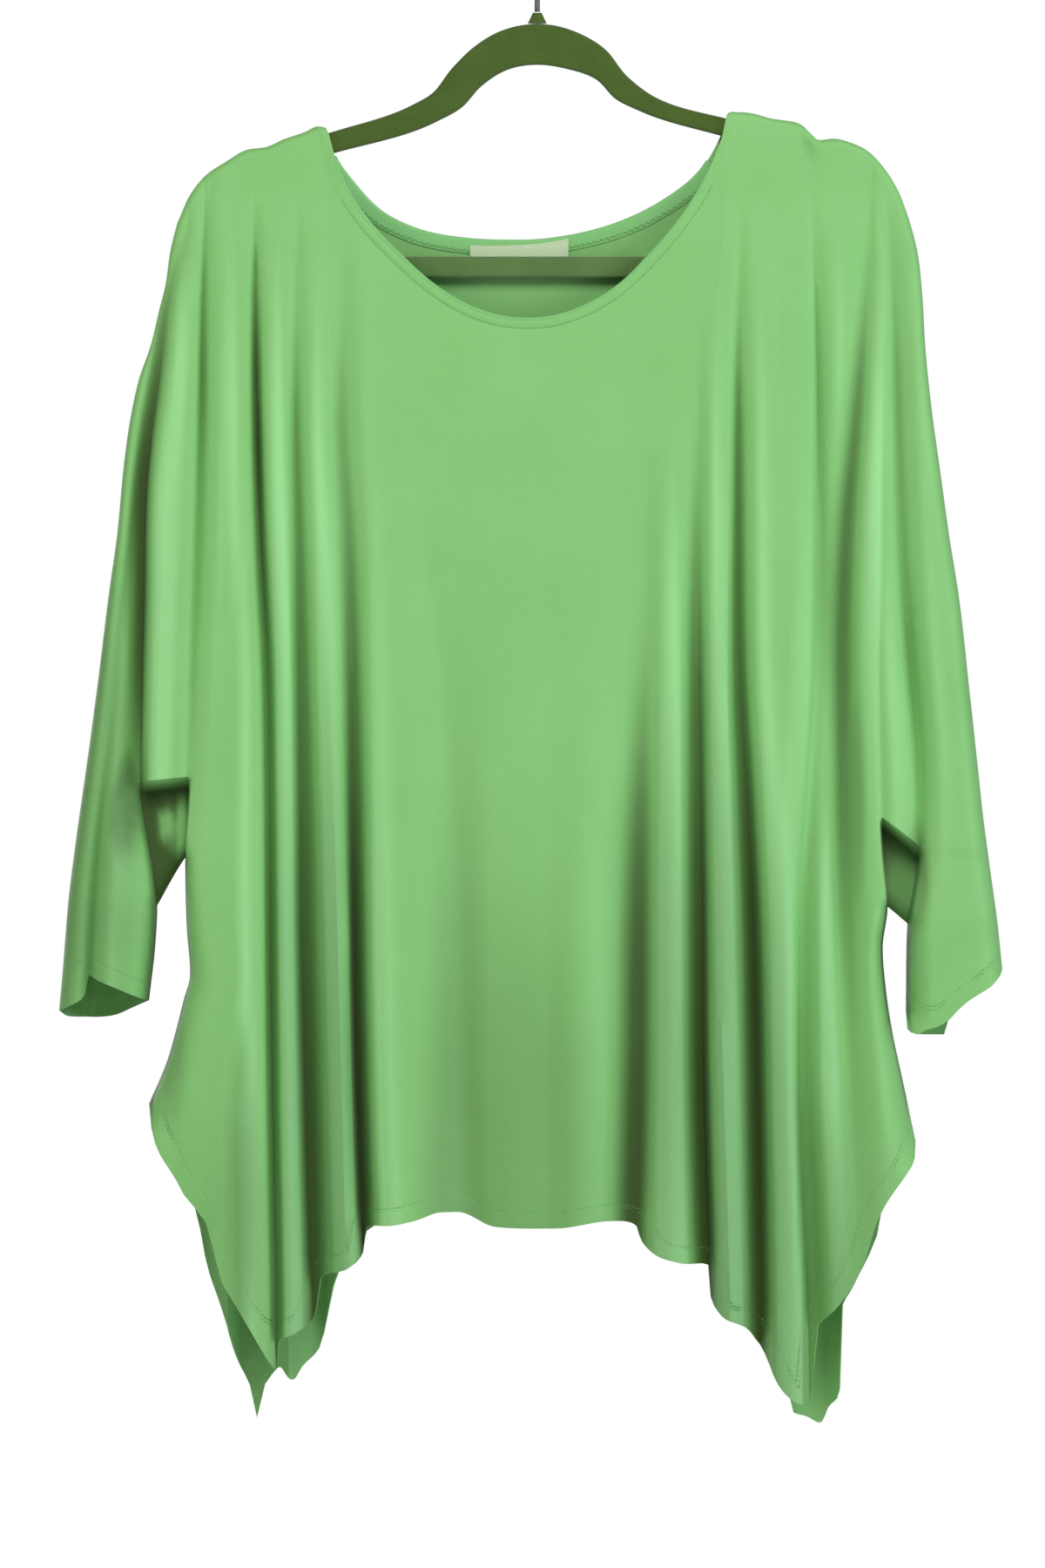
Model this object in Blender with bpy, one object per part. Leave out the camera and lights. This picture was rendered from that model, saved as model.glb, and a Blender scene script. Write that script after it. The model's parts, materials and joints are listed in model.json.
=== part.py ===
"""A wide light green jersey top hung on a slim flocked hanger.

The top is cut double: a front and a back with the sleeves cut on, joined along the shoulder and
overarm, along the underarm and down the sides as far as two open slits. The neck is a wide scoop
with a narrow facing inside. The hem is straight in the middle and falls to long corners.
Cloth past the hanger's ends has nothing under it, so it falls in folds that fan out from there.

X runs to the right as seen from the front, the front faces -Y and Z is up. The origin is the point
inside the hook that rests on a rail. Sizes in the tables are millimetres: across is X, and drop is
the distance below the origin.
"""

from collections import namedtuple

import bpy
import numpy as np

MM = 0.001

# The cloth and its seams
JERSEY = 1.4
SEAM_GAP = 0.3
FACING = 1.0
FACING_GAP = 0.45
FACING_WIDTH = 8.5
CLEAR_OF_ARMS = (6.0, 14.0)
LABEL_SIZE = (60.0, 20.0)
LABEL_CENTRE = -11.0
LABEL_THICK = 1.0
FOLD_POWER = 1.7
MOST_REACH = 1.6

# The hanger
HANGER_THICK = 5.0
HANGER_ROUND = 2.2
BAR_TOP, BAR_BOTTOM = 227.0, 240.0
WIRE = 3.2
HOOK_INSIDE = 20.0
HUMP_TOP = 85.0
COLLAR_HEIGHT = 6.5
COLLAR_RADII = (5.8, 2.7)

# Drops at which the fold tables give their places, and at which they give their depths
PLACES = (190, 250, 400, 550, 670, 850)
DEPTHS = (190, 310, 490, 670, 850)

# How far the folds stand out from the middle plane, and the least that they may, by drop
CROWN = ((140, 4.8), (190, 5.4), (215, 8.4), (300, 13), (400, 20), (550, 29), (700, 33), (950, 35))
FLOOR = ((140, 4.6), (262, 4.6), (300, 3.4), (950, 3.0))

Fold = namedtuple("Fold", "name x190 x250 x400 x550 x670 x850 left right d190 d310 d490 d670 d850")
Seam = namedtuple("Seam", "name path left right d190 d310 d490 d670 d850")
Guide = namedtuple("Guide", "name x190 x250 x400 x550 x670 x850")

# Seams as (across, drop): the front and the back share them
SHOULDER_LEFT = (
    (-220, 207), (-217, 200), (-213, 191), (-202, 177), (-190, 169), (-178, 162), (-165, 160),
    (-155, 155.5), (-142, 151), (-134, 147.6), (-129.5, 148.4),
)
SHOULDER_RIGHT = (
    (118, 138.8), (127, 139), (144, 143), (162, 147), (167, 152), (172, 156), (181, 155),
    (190, 157), (201, 162), (211, 172), (220, 186), (227, 204),
)
OVERARM_LEFT = (
    (-220, 207), (-224, 223), (-227, 244), (-231, 260), (-236, 281), (-243, 301), (-248, 323),
    (-252, 350), (-257, 400), (-261, 428), (-268, 484), (-274, 529), (-281, 578), (-286, 617),
    (-290, 665), (-292, 687),
)
OVERARM_RIGHT = (
    (227, 204), (232, 223), (235, 248), (237, 282), (241, 321), (246, 357), (252, 400),
    (257, 431), (264, 492), (269, 538), (272, 566), (277, 604), (281, 633), (284, 662),
)
UNDERARM_LEFT = (
    (-213, 210), (-222, 250), (-226, 275), (-230, 340), (-236, 400), (-241, 490), (-242, 550),
    (-239, 573), (-234, 600), (-232, 623), (-233, 645), (-237, 681),
)
SIDE_LEFT = (
    (-202, 190), (-205, 250), (-205, 345), (-208, 443), (-213, 550), (-215, 594), (-214, 637),
    (-212, 665), (-216, 681), (-220, 697), (-226, 718), (-237, 744),
)
UNDERARM_RIGHT = (
    (213, 195), (215, 250), (219, 290), (222, 345), (226, 443), (232, 548), (232, 591),
    (226, 634), (225, 687),
)
SIDE_RIGHT = (
    (206, 190), (211, 220), (213, 250), (210, 300), (209, 443), (209, 550), (211, 590),
    (214, 624), (211, 649), (213, 675), (217, 701), (223, 729), (231, 767),
)

OUTER_LEFT = SHOULDER_LEFT[::-1] + OVERARM_LEFT[1:]
OUTER_RIGHT = SHOULDER_RIGHT + OVERARM_RIGHT[1:]

# Free edges
NECK_FRONT = (
    (-129.5, 148.4), (-127, 153), (-125, 162), (-115, 188), (-99, 210.5), (-83, 227), (-62, 245.5),
    (-41, 258), (-20, 264.5), (-4, 265.5), (12, 263.5), (33, 255.5), (52, 243), (66, 229),
    (96, 191), (113, 154), (118, 138.8),
)
NECK_BACK = (
    (-129.5, 148.4), (-127, 153), (-125, 162), (-112, 182), (-94, 200), (-76, 209), (-41, 216), (-10, 217),
    (20, 214), (47, 207), (73, 195), (99, 175), (113, 151), (118, 138.8),
)
HEM_FRONT = (
    (-237, 744), (-230, 771), (-219, 789), (-213, 800), (-203, 811), (-199, 820), (-198, 838),
    (-189, 855), (-177, 875), (-166, 894), (-158, 907), (-157, 888), (-147, 882), (-137, 875),
    (-134, 866), (-132, 850), (-115, 843), (-107, 836), (-105, 824), (-103, 818), (-88, 817),
    (-74, 814), (-58, 809), (-49, 809), (-25, 818), (10, 819), (43, 815), (61, 819), (63, 826),
    (70, 834), (87, 840), (105, 843), (106, 862), (112, 872), (128, 880), (134, 888), (138, 894),
    (141, 901), (144, 909), (148, 916), (157, 924), (163, 926), (168, 923), (169, 882),
    (183, 865), (195, 846), (200, 834), (205, 817), (210, 806), (220, 791), (228, 779), (231, 767),
)
HEM_BACK = (
    (-237, 744), (-230, 771), (-219, 789), (-212, 805), (-207, 824), (-203, 845), (-193, 872),
    (-183, 906), (-177, 918), (-175, 924), (-174, 935), (-172, 939), (-170, 934), (-169, 922),
    (-163, 912), (-158, 907), (-150, 914), (-145, 907), (-134, 896), (-132, 889), (-129, 881),
    (-127, 865), (-105, 824), (-78, 812), (-41, 811), (-30, 818), (-9, 820), (12, 815), (44, 811),
    (65, 822), (97, 838), (106, 842), (108, 865), (118, 877), (128, 883), (134, 889), (139, 897),
    (144, 908), (155, 922), (157, 934), (166, 938), (174, 942), (180, 931), (184, 927),
    (186, 920), (187, 871), (195, 856), (203, 841), (209, 827), (211, 808), (220, 791),
    (228, 779), (231, 767),
)
CUFFS_FRONT = (
    (-292, 687), (-285, 684), (-276, 679), (-273, 665), (-267, 668), (-253, 674), (-237, 681),
    (225, 687), (229.5, 701), (236, 698), (243, 696), (252, 690), (256, 685), (267, 677),
    (275, 672), (284, 662),
)
CUFFS_BACK = (
    (-292, 687), (-289, 691), (-274, 692), (-260, 691), (-248, 686), (-237, 681),
    (225, 687), (229.5, 701.5), (242, 703), (254, 703), (255, 687), (266, 676), (284, 662),
)

# Folds across the front, from left to right. The seams among them are where the underarm ends.
# left and right are the half widths of a valley's two sides, d190 to d850 its depth by drop.
# A guide has no depth: it only leads the mesh down from the ends of the neck.
FRONT_FOLDS = (
    Seam("overarm_left", OVERARM_LEFT, 1, 1, 0, 0, 0, 0, 0),
    Fold("sleeve_ripple", -214, -224, -248, -261, -273, -273, 4, 5, 0, 2, 6, 9, 9.5),
    Seam("underarm_left", UNDERARM_LEFT, 13, 4, 0, 9, 15, 4, 4),
    Seam("side_left", SIDE_LEFT, 3, 3.5, 2, 8, 9, 0, 0),
    Fold("tip_fold_left", -172, -171, -168, -163, -163, -160, 4, 5, 0, 12, 18, 19.5, 19),
    Fold("second_left", -147, -148, -144, -139, -136, -131, 5, 5, 0, 5.5, 13, 22, 24.5),
    Guide("neck_end_left", -129.5, -131.5, -128, -125, -122, -117),
    Guide("neck_side_left", -127, -126.5, -121, -118, -115, -110),
    Fold("third_left", -115, -120, -113, -111, -109, -104, 3, 8, 0, 3.5, 12, 24.5, 27),
    Fold("chest_left", -78, -74, -69, -52, -47, -38, 13, 14, 0, 0, 3, 6.5, 8),
    Fold("chest_middle", 1, 3, 7, 7, 7, 12, 9, 10, 0, 0, 0.5, 2.5, 3.5),
    Fold("third_right", 73, 69, 66, 66, 63, 52, 10, 5, 0, 0, 5, 22, 25.5),
    Fold("second_right", 100, 98, 98, 100, 101, 107, 5, 6, 0, 0, 11, 22, 24.5),
    Guide("neck_side_right", 115.5, 110, 108, 108, 111, 117),
    Guide("neck_end_right", 118, 116, 115, 115, 118, 124),
    Fold("first_right", 127, 127, 127, 127, 131, 137, 5, 6, 0, 5.5, 15.5, 23.5, 24.5),
    Fold("dent_right", 148, 148, 155, 154, 147, 148, 7, 7, 0, 3, 2.5, 0, 0),
    Fold("tip_fold_right", 166, 170, 170, 165, 158, 165, 2.5, 4, 1, 9, 12, 15.5, 17.5),
    Fold("side_fold_right", 203, 201, 189, 190, 195, 198, 5, 8, 1, 9, 15.5, 15.5, 0),
    Seam("side_right", SIDE_RIGHT, 2, 3, 2, 6, 8, 0, 0),
    Seam("underarm_right", UNDERARM_RIGHT, 3, 8, 0, 6, 9, 3, 3),
    Seam("overarm_right", OVERARM_RIGHT, 1, 1, 0, 0, 0, 0, 0),
)
BACK_FOLDS = (
    Seam("overarm_left", OVERARM_LEFT, 1, 1, 0, 0, 0, 0, 0),
    Fold("sleeve_ripple", -214, -226, -247, -264, -271, -272, 4, 6, 0, 3.5, 7, 6.5, 7),
    Seam("underarm_left", UNDERARM_LEFT, 8, 4, 0, 7, 12, 4, 4),
    Seam("side_left", SIDE_LEFT, 3, 5, 2, 6, 9, 0, 0),
    Fold("tip_fold_left", -180, -181, -184, -186, -188, -190, 5, 4, 0, 9, 15.5, 18, 13.5),
    Fold("second_left", -150, -152, -156, -157, -155, -152, 4, 6, 0, 9, 15.5, 21, 21.5),
    Guide("neck_end_left", -129.5, -131.5, -134.5, -136, -134, -131),
    Guide("neck_side_left", -127, -126.5, -128.5, -130, -128, -125),
    Fold("third_left", -116, -117, -121, -124, -122, -118, 6, 4, 0, 3.5, 12, 21, 24.5),
    Fold("blade_left", -92, -90, -86, -80, -76, -70, 8, 7, 0, 0, 6, 15.5, 19),
    Fold("back_middle", -20, -18, -14, -10, -6, -4, 14, 12, 0, 0, 2.5, 5, 7),
    Fold("blade_right", 60, 58, 52, 47, 44, 40, 9, 8, 0, 0, 3.5, 11.5, 16),
    Fold("third_right", 93, 92, 90, 88, 86, 84, 5, 8, 0, 2, 11, 21, 24.5),
    Guide("neck_side_right", 116.4, 110, 109, 108, 105, 103),
    Guide("neck_end_right", 118, 115, 113, 112, 109, 107),
    Fold("second_right", 124, 125, 127, 126, 122, 119, 6, 5, 0, 6.5, 14.5, 22, 24.5),
    Fold("first_right", 150, 152, 154, 157, 156, 152, 4, 6, 0, 9, 15.5, 19.5, 21.5),
    Fold("tip_fold_right", 178, 180, 183, 187, 188, 189, 5, 4, 1, 9, 15.5, 17, 11),
    Seam("side_right", SIDE_RIGHT, 4, 3, 2, 6, 8, 0, 0),
    Seam("underarm_right", UNDERARM_RIGHT, 4, 7, 0, 7, 11, 3, 3),
    Seam("overarm_right", OVERARM_RIGHT, 1, 1, 0, 0, 0, 0, 0),
)

# The swag: the drop at which the front rolls under between sleeve and side, and the underarm seam
SWAG = {"overarm_left": 551, "underarm_left": 551, "side_left": 548, "side_right": 573,
        "underarm_right": 590, "overarm_right": 592}
NOTCH = {"overarm_left": 617, "underarm_left": 623, "side_left": 594, "side_right": 624,
         "underarm_right": 634, "overarm_right": 630}
SWAG_HALF = 3.5
SWAG_DEPTH = 7.0

# Radii with which the cloth rounds to its seams, by drop
ROUND_LEFT = ((140, 4.4), (207, 4.4), (260, 7), (400, 12), (700, 16))
ROUND_RIGHT = ((140, 4.4), (207, 4.4), (260, 6), (400, 9), (700, 15))
ROUND_SIDE = ((594, 8), (680, 14), (744, 20))

# The mesh: fractions of a column's three stretches, and places beside a valley in half widths
TOP_ROWS = (0, 0.0025, 0.008, 0.016, 0.05, 0.11, 0.19, 0.29, 0.4, 0.52, 0.64, 0.76, 0.88, 1)
NOTCH_ROWS = (0.35, 1)
LOW_ROWS = (0.08, 0.2, 0.35, 0.5, 0.65, 0.8, 0.93, 1)
BESIDE_FOLD = (1.25,)
BESIDE_SEAM = (0.9, 4.0)
WIDEST_CELL = 15.0
MEASURED_AT = 450.0

JERSEY_GREEN = (0.262, 0.584, 0.205, 1)
FACING_GREEN = (0.25, 0.55, 0.2, 1)
LABEL_CREAM = (0.61, 0.7, 0.46, 1)
FLOCK_GREEN = (0.067, 0.119, 0.018, 1)
CHROME = (0.72, 0.73, 0.74, 1)


def by_drop(table, drop):
    drops, values = zip(*table)
    return np.interp(drop, drops, values)


def smooth(at, knots, values):
    """A curve through values at knots, with no overshoot between two equal values."""
    knots, values = np.asarray(knots, float), np.asarray(values, float)
    slopes = np.diff(values) / np.diff(knots)
    tangents = np.concatenate([slopes[:1], (slopes[:-1] + slopes[1:]) / 2, slopes[-1:]])
    turns = np.concatenate([[False], slopes[:-1] * slopes[1:] <= 0, [False]])
    tangents[turns] = 0
    at = np.clip(at, knots[0], knots[-1])
    i = np.clip(np.searchsorted(knots, at, side="right") - 1, 0, len(slopes) - 1)
    span = knots[i + 1] - knots[i]
    s = (at - knots[i]) / span
    start, end = s * s * (3 - 2 * s), s * (1 - s) * span
    return (
        values[i] * (1 - start) + values[i + 1] * start
        + end * ((1 - s) * tangents[i] - s * tangents[i + 1])
    )


def across(line, drop):
    """Where a fold or a seam lies at these drops."""
    if isinstance(line, Seam):
        xs, drops = zip(*line.path)
        return smooth(drop, drops, xs)
    return smooth(drop, PLACES, line[1:7])


def to_path(x, drop, path):
    """The distance from each point to a path of straight pieces."""
    path = np.asarray(path, float)
    nearest = np.full(np.shape(x), np.inf)
    for (ax, ad), (bx, bd) in zip(path[:-1], path[1:]):
        length = (bx - ax) ** 2 + (bd - ad) ** 2
        part = np.clip(((x - ax) * (bx - ax) + (drop - ad) * (bd - ad)) / length, 0, 1)
        nearest = np.minimum(nearest, np.hypot(x - ax - part * (bx - ax), drop - ad - part * (bd - ad)))
    return nearest


def below(path, drop):
    return tuple(p for p in path if p[1] >= drop)


def rounding(distance, radius):
    return np.sqrt(1 - (1 - np.clip(distance / radius, 0, 1)) ** 2)


class Panel:
    """One side of the garment: its folds, its edges, and how far it stands out anywhere."""

    def __init__(self, name, forward, folds, neck, hem, cuffs, swag):
        self.name, self.forward, self.folds = name, forward, folds
        self.hem, self.cuffs, self.swag = hem, cuffs, swag
        self.rim = SHOULDER_LEFT[:-1] + neck + SHOULDER_RIGHT[1:]
        self.neck = neck
        self.names = [fold.name for fold in folds]
        self.notches = [
            (self.names.index("underarm_left"), self.names.index("side_left")),
            (self.names.index("side_right"), self.names.index("underarm_right")),
        ]

    def x_at(self, u, drop):
        """Across at column u, where a whole number is a fold and a part lies between two."""
        u = np.asarray(u, float)
        i = np.clip(np.floor(u).astype(int), 0, len(self.folds) - 2)
        lines = np.array([across(fold, drop) for fold in self.folds])
        rest = u - i
        pick = np.arange(len(u))
        return lines[i, pick] * (1 - rest) + lines[i + 1, pick] * rest

    def meets(self, u, edge, low, high):
        """The drop at which column u crosses an edge given as (across, drop)."""
        xs, drops = zip(*edge)
        low, high = np.full(len(u), float(low)), np.full(len(u), float(high))
        for _ in range(40):
            middle = (low + high) / 2
            past = middle >= np.interp(self.x_at(u, middle), xs, drops)
            low, high = np.where(past, low, middle), np.where(past, middle, high)
        return (low + high) / 2

    def between(self, u, marks):
        """A value given at some of the folds, spread evenly over the columns between them."""
        places = [self.names.index(name) for name in marks]
        return np.interp(u, places, list(marks.values()))

    def depth(self, x, drop):
        """How far the outer face stands out from the middle plane."""
        crown = by_drop(CROWN, drop) * (1 - 0.2 * np.exp(-((x / 95) ** 4)))
        valleys = np.zeros(np.shape(x))
        for fold in self.folds:
            if isinstance(fold, Guide):
                continue
            aside = x - across(fold, drop)
            width = np.where(aside < 0, fold.left, fold.right) * by_drop(((190, 0.35), (380, 1)), drop)
            valleys += smooth(drop, DEPTHS, fold[-5:]) * np.exp(-(np.abs(aside / width) ** FOLD_POWER))
        out = np.maximum(crown - valleys, by_drop(FLOOR, drop))
        if self.swag:
            out = self.rolled_under(out, x, drop)
        half = SEAM_GAP / 2
        return half + (out - half) * self.near_seams(x, drop)

    def rolled_under(self, out, x, drop):
        """Between sleeve and side the front rolls under at the swag, and hangs further back."""
        for left, right in self.notches:
            ends = [(self.folds[left], SWAG[self.names[left]]), (self.folds[right], SWAG[self.names[right]])]
            (first, drop_a), (last, drop_b) = ends
            a, b = across(first, drop), across(last, drop)
            share = np.clip((x - a) / np.maximum(b - a, 1), 0, 1)
            under = np.clip((drop - drop_a - share * (drop_b - drop_a)) / SWAG_HALF / 2 + 0.5, 0, 1)
            inside = np.clip((x - a) / 2 + 1, 0, 1) * np.clip((b - x) / 2 + 1, 0, 1)
            out = out + (np.minimum(out, SWAG_DEPTH) - out) * under * inside
        return out

    def near_seams(self, x, drop):
        """From 0 at a seam to 1 where the cloth no longer rounds towards it."""
        share = rounding(to_path(x, drop, OUTER_LEFT), by_drop(ROUND_LEFT, drop))
        right = rounding(to_path(x, drop, OUTER_RIGHT), by_drop(ROUND_RIGHT, drop))
        share = np.minimum(share, right)
        for side, arm in ((SIDE_LEFT, UNDERARM_LEFT), (SIDE_RIGHT, UNDERARM_RIGHT)):
            side_drop, arm_drop = NOTCH_DROPS[side], NOTCH_DROPS[arm]
            seam = below(arm, arm_drop)[::-1] + below(side, side_drop)
            share = np.minimum(share, rounding(to_path(x, drop, seam), by_drop(ROUND_SIDE, drop)))
        return share

    def columns(self, beside_fold, beside_seam, widest):
        """The columns: on each fold, close beside it, and evenly over the cloth between."""
        at = np.array([float(across(fold, np.array(MEASURED_AT))) for fold in self.folds])
        us = []
        for i in range(len(at) - 1):
            gap, first, last = at[i + 1] - at[i], self.folds[i], self.folds[i + 1]
            near, far = [
                list(beside_seam) if isinstance(fold, Seam)
                else [] if isinstance(fold, Guide)
                else [m * getattr(fold, side) for m in beside_fold]
                for fold, side in ((first, "right"), (last, "left"))
            ]
            left = [m / gap for m in near if m < 0.42 * gap]
            right = [1 - m / gap for m in reversed(far) if m < 0.42 * gap]
            start, end = (left or [0])[-1], (right or [1])[0]
            count = int(np.ceil((end - start) * gap / widest))
            middle = [start + (end - start) * k / count for k in range(1, count)]
            us += [i + f for f in [0] + left + middle + right]
        return np.array(us + [len(at) - 1.0])

    def grid(self, us, top_rows, notch_rows, low_rows):
        """Points (rows by columns by across, drop) and the columns that bound the two notches."""
        top = self.meets(us, self.rim, 100, 400)
        swag, notch = self.between(us, SWAG), self.between(us, NOTCH)
        arm = (us <= self.notches[0][0]) | (us >= self.notches[1][1])
        end = np.where(arm, self.meets(us, self.cuffs, 600, 760), self.meets(us, self.hem, 640, 960))
        drops = [top + f * (swag - SWAG_HALF - top) for f in top_rows]
        lower = swag + SWAG_HALF
        drops += [lower] + [lower + f * (notch - lower) for f in notch_rows]
        drops += [notch + f * (end - notch) for f in low_rows]
        drops = np.array(drops)
        xs = np.array([self.x_at(us, row) for row in drops])
        notch_row = len(top_rows) + len(notch_rows)
        gaps = [(int(np.searchsorted(us, a)), int(np.searchsorted(us, b))) for a, b in self.notches]
        return xs, drops, notch_row, gaps

    def wall(self, us, top_rows, notch_rows, low_rows, thick):
        """Vertices in metres and faces of the panel as a closed wall."""
        xs, drops, notch_row, gaps = self.grid(us, top_rows, notch_rows, low_rows)
        rows, cols = xs.shape
        seam = np.zeros((rows, cols), bool)
        seam[:, 0] = seam[:, -1] = True
        seam[0] |= (xs[0] <= self.neck[0][0] + 0.01) | (xs[0] >= self.neck[-1][0] - 0.01)
        used = np.ones((rows - 1, cols - 1), bool)
        for first, last in gaps:
            used[notch_row:, first:last] = False
            seam[notch_row, first:last + 1] = True
            seam[notch_row:, [first, last]] = True
        out = np.where(seam, SEAM_GAP / 2, self.depth(xs, drops))
        points = np.stack([xs, -self.forward * out, -drops], axis=-1).reshape(-1, 3)
        quads = [
            (r * cols + c, (r + 1) * cols + c, (r + 1) * cols + c + 1, r * cols + c + 1)
            for r in range(rows - 1) for c in range(cols - 1) if used[r, c]
        ]
        faces = quads if self.forward > 0 else [q[::-1] for q in quads]
        return closed_wall(points, faces, seam.reshape(-1), thick)


NOTCH_DROPS = {
    SIDE_LEFT: NOTCH["side_left"], UNDERARM_LEFT: NOTCH["underarm_left"],
    SIDE_RIGHT: NOTCH["side_right"], UNDERARM_RIGHT: NOTCH["underarm_right"],
}


def two_sided(sheet, count):
    """A sheet's quads, split along one diagonal, with its inner face count vertices on and its rim."""
    edges = {(f[k], f[(k + 1) % 4]) for f in sheet for k in range(4)}
    rim = [(b, a, a + count, b + count) for a, b in sorted(edges) if (b, a) not in edges]
    outside = [half for a, b, c, d in sheet for half in ((a, b, c), (a, c, d))]
    return outside + [tuple(i + count for i in reversed(half)) for half in outside] + rim


def closed_wall(points, faces, in_seam, thick):
    """Thickens a sheet inwards. At a seam the cut edge lies flat, so that the other side meets it."""
    corners = points[np.array(faces)]
    flat = np.cross(corners[:, 2] - corners[:, 0], corners[:, 3] - corners[:, 1])
    flat /= np.maximum(np.linalg.norm(flat, axis=1), 1e-9)[:, None]
    normals, leaning, shared = np.zeros_like(points), np.zeros(len(points)), np.zeros(len(points))
    for face, normal in zip(faces, flat):
        normals[list(face)] += normal
    normals[in_seam, 1] = 0
    normals /= np.maximum(np.linalg.norm(normals, axis=1), 1e-9)[:, None]
    for face, normal in zip(faces, flat):
        leaning[list(face)] += normals[list(face)] @ normal
        shared[list(face)] += 1
    # In a bend the inner face lies further off, so that both sides of the bend keep their thickness.
    reach = np.clip(np.maximum(shared, 1) / np.maximum(leaning, 1e-9), 1, MOST_REACH)
    reach[in_seam] = 1
    normals *= reach[:, None]
    kept = sorted({i for face in faces for i in face})
    place = {old: new for new, old in enumerate(kept)}
    count = len(kept)
    vertices = np.concatenate([points[kept], points[kept] - thick * normals[kept]]) * MM
    return vertices, two_sided([tuple(place[i] for i in face) for face in faces], count)


def strip_wall(panel, edge, width, inset, thick, ends, steps):
    """A band that follows an edge on the panel's inner side, from ends[0] to ends[1] across."""
    xs, drops = np.array(edge, float).T
    run = np.concatenate([[0], np.cumsum(np.hypot(np.diff(xs), np.diff(drops)))])
    at = np.linspace(np.interp(ends[0], xs, run), np.interp(ends[1], xs, run), steps)
    x, drop = smooth(at, run, xs), smooth(at, run, drops)
    along = np.stack([np.gradient(x), np.gradient(drop)])
    along /= np.hypot(*along)
    rows = [(x - s * along[1], drop + s * along[0]) for s in (0.3, width / 2, width)]
    outer, inner = [], []
    for px, pd in rows:
        slopes = [(panel.depth(px + a, pd + b) - panel.depth(px - a, pd - b)) for a, b in ((1, 0), (0, 1))]
        normal = np.stack([-slopes[0] / 2, np.ones(len(px)), -slopes[1] / 2], axis=-1)
        normal /= np.linalg.norm(normal, axis=1)[:, None]
        place = np.stack([px, panel.depth(px, pd), pd], axis=-1)
        outer.append(place - normal * inset)
        inner.append(place - normal * (inset + thick))
    outer, inner = np.concatenate(outer), np.concatenate(inner)
    turn = np.array([1, -panel.forward, -1])
    quads = [
        (r * steps + c, (r + 1) * steps + c, (r + 1) * steps + c + 1, r * steps + c + 1)
        for r in range(len(rows) - 1) for c in range(steps - 1)
    ]
    sheet = quads if panel.forward > 0 else [q[::-1] for q in quads]
    return np.concatenate([outer, inner]) * turn * MM, two_sided(sheet, len(outer))


def material(name, colour, roughness, metallic=0.0):
    made = bpy.data.materials.new(name)
    made.use_nodes = True
    shader = made.node_tree.nodes["Principled BSDF"]
    shader.inputs["Base Color"].default_value = colour
    shader.inputs["Roughness"].default_value = roughness
    shader.inputs["Metallic"].default_value = metallic
    return made


def mesh_object(name, vertices, faces, finish, collection):
    mesh = bpy.data.meshes.new(name)
    mesh.from_pydata([tuple(v) for v in vertices], [], faces)
    mesh.materials.append(finish)
    mesh.shade_smooth()
    made = bpy.data.objects.new(name, mesh)
    collection.objects.link(made)
    return made


def hanger_body(finish, collection):
    """A flat moulded loop: a humped top with two sloping arms, round ends and a straight bar."""
    outline = (
        (0, HUMP_TOP), (12, 86.2), (24, 90), (41, 100), (55, 117), (66, 126), (118, 143.4),
        (144, 149.5), (172, 157.5), (190, 163.5), (201, 168.5), (210, 176.5), (218, 190),
        (223, 206), (224.5, 222), (220, 233.5), (209, 239), (190, BAR_BOTTOM), (-190, BAR_BOTTOM),
        (-206, 239), (-216, 233.5), (-219.5, 222), (-217.5, 209), (-208.5, 193.5), (-199, 180.5),
        (-188, 172.5), (-176, 166.5), (-152, 160), (-129, 152.2), (-76, 134.3), (-65, 128),
        (-52, 112), (-38, 98.5), (-24, 90), (-12, 86.2),
    )
    hole = (
        (0, 110), (-18, 113), (-34, 123), (-46, 136), (-62, 145), (-126, 164.5), (-152, 172),
        (-174, 178.5), (-187, 184.5), (-198, 197), (-204.5, 211), (-204, 221), (-196, 226.3),
        (-180, BAR_TOP), (180, BAR_TOP), (199, 226.5), (208, 222), (211, 212), (206, 196),
        (197, 184), (186, 176.5), (170, 170.5), (118, 155), (62, 138), (48, 131), (36, 119),
        (18, 112.5),
    )
    curve = bpy.data.curves.new("hanger_outline", "CURVE")
    curve.dimensions = "2D"
    curve.fill_mode = "BOTH"
    curve.extrude = (HANGER_THICK / 2 - HANGER_ROUND) * MM
    curve.bevel_depth = HANGER_ROUND * MM
    curve.offset = -HANGER_ROUND * MM
    curve.bevel_resolution = 1
    for path in (outline, hole):
        spline = curve.splines.new("POLY")
        spline.points.add(len(path) - 1)
        for point, (x, drop) in zip(spline.points, path):
            point.co = (x * MM, -drop * MM, 0, 1)
        spline.use_cyclic_u = True
    made = bpy.data.objects.new("hanger_body", curve)
    made.rotation_euler.x = np.pi / 2
    curve.materials.append(finish)
    collection.objects.link(made)
    return made


def hook_collar(finish, collection):
    """The small cone that the hook's wire stands in."""
    low = HUMP_TOP - SEAM_GAP
    bpy.ops.mesh.primitive_cone_add(
        vertices=24, radius1=COLLAR_RADII[0] * MM, radius2=COLLAR_RADII[1] * MM,
        depth=COLLAR_HEIGHT * MM, location=(0, 0, (COLLAR_HEIGHT / 2 - low) * MM),
    )
    made = bpy.context.object
    made.name = "hook_collar"
    made.scale.y = HANGER_THICK / 2 / COLLAR_RADII[0]
    made.data.materials.append(finish)
    for holder in list(made.users_collection):
        holder.objects.unlink(made)
    collection.objects.link(made)
    return made


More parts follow.
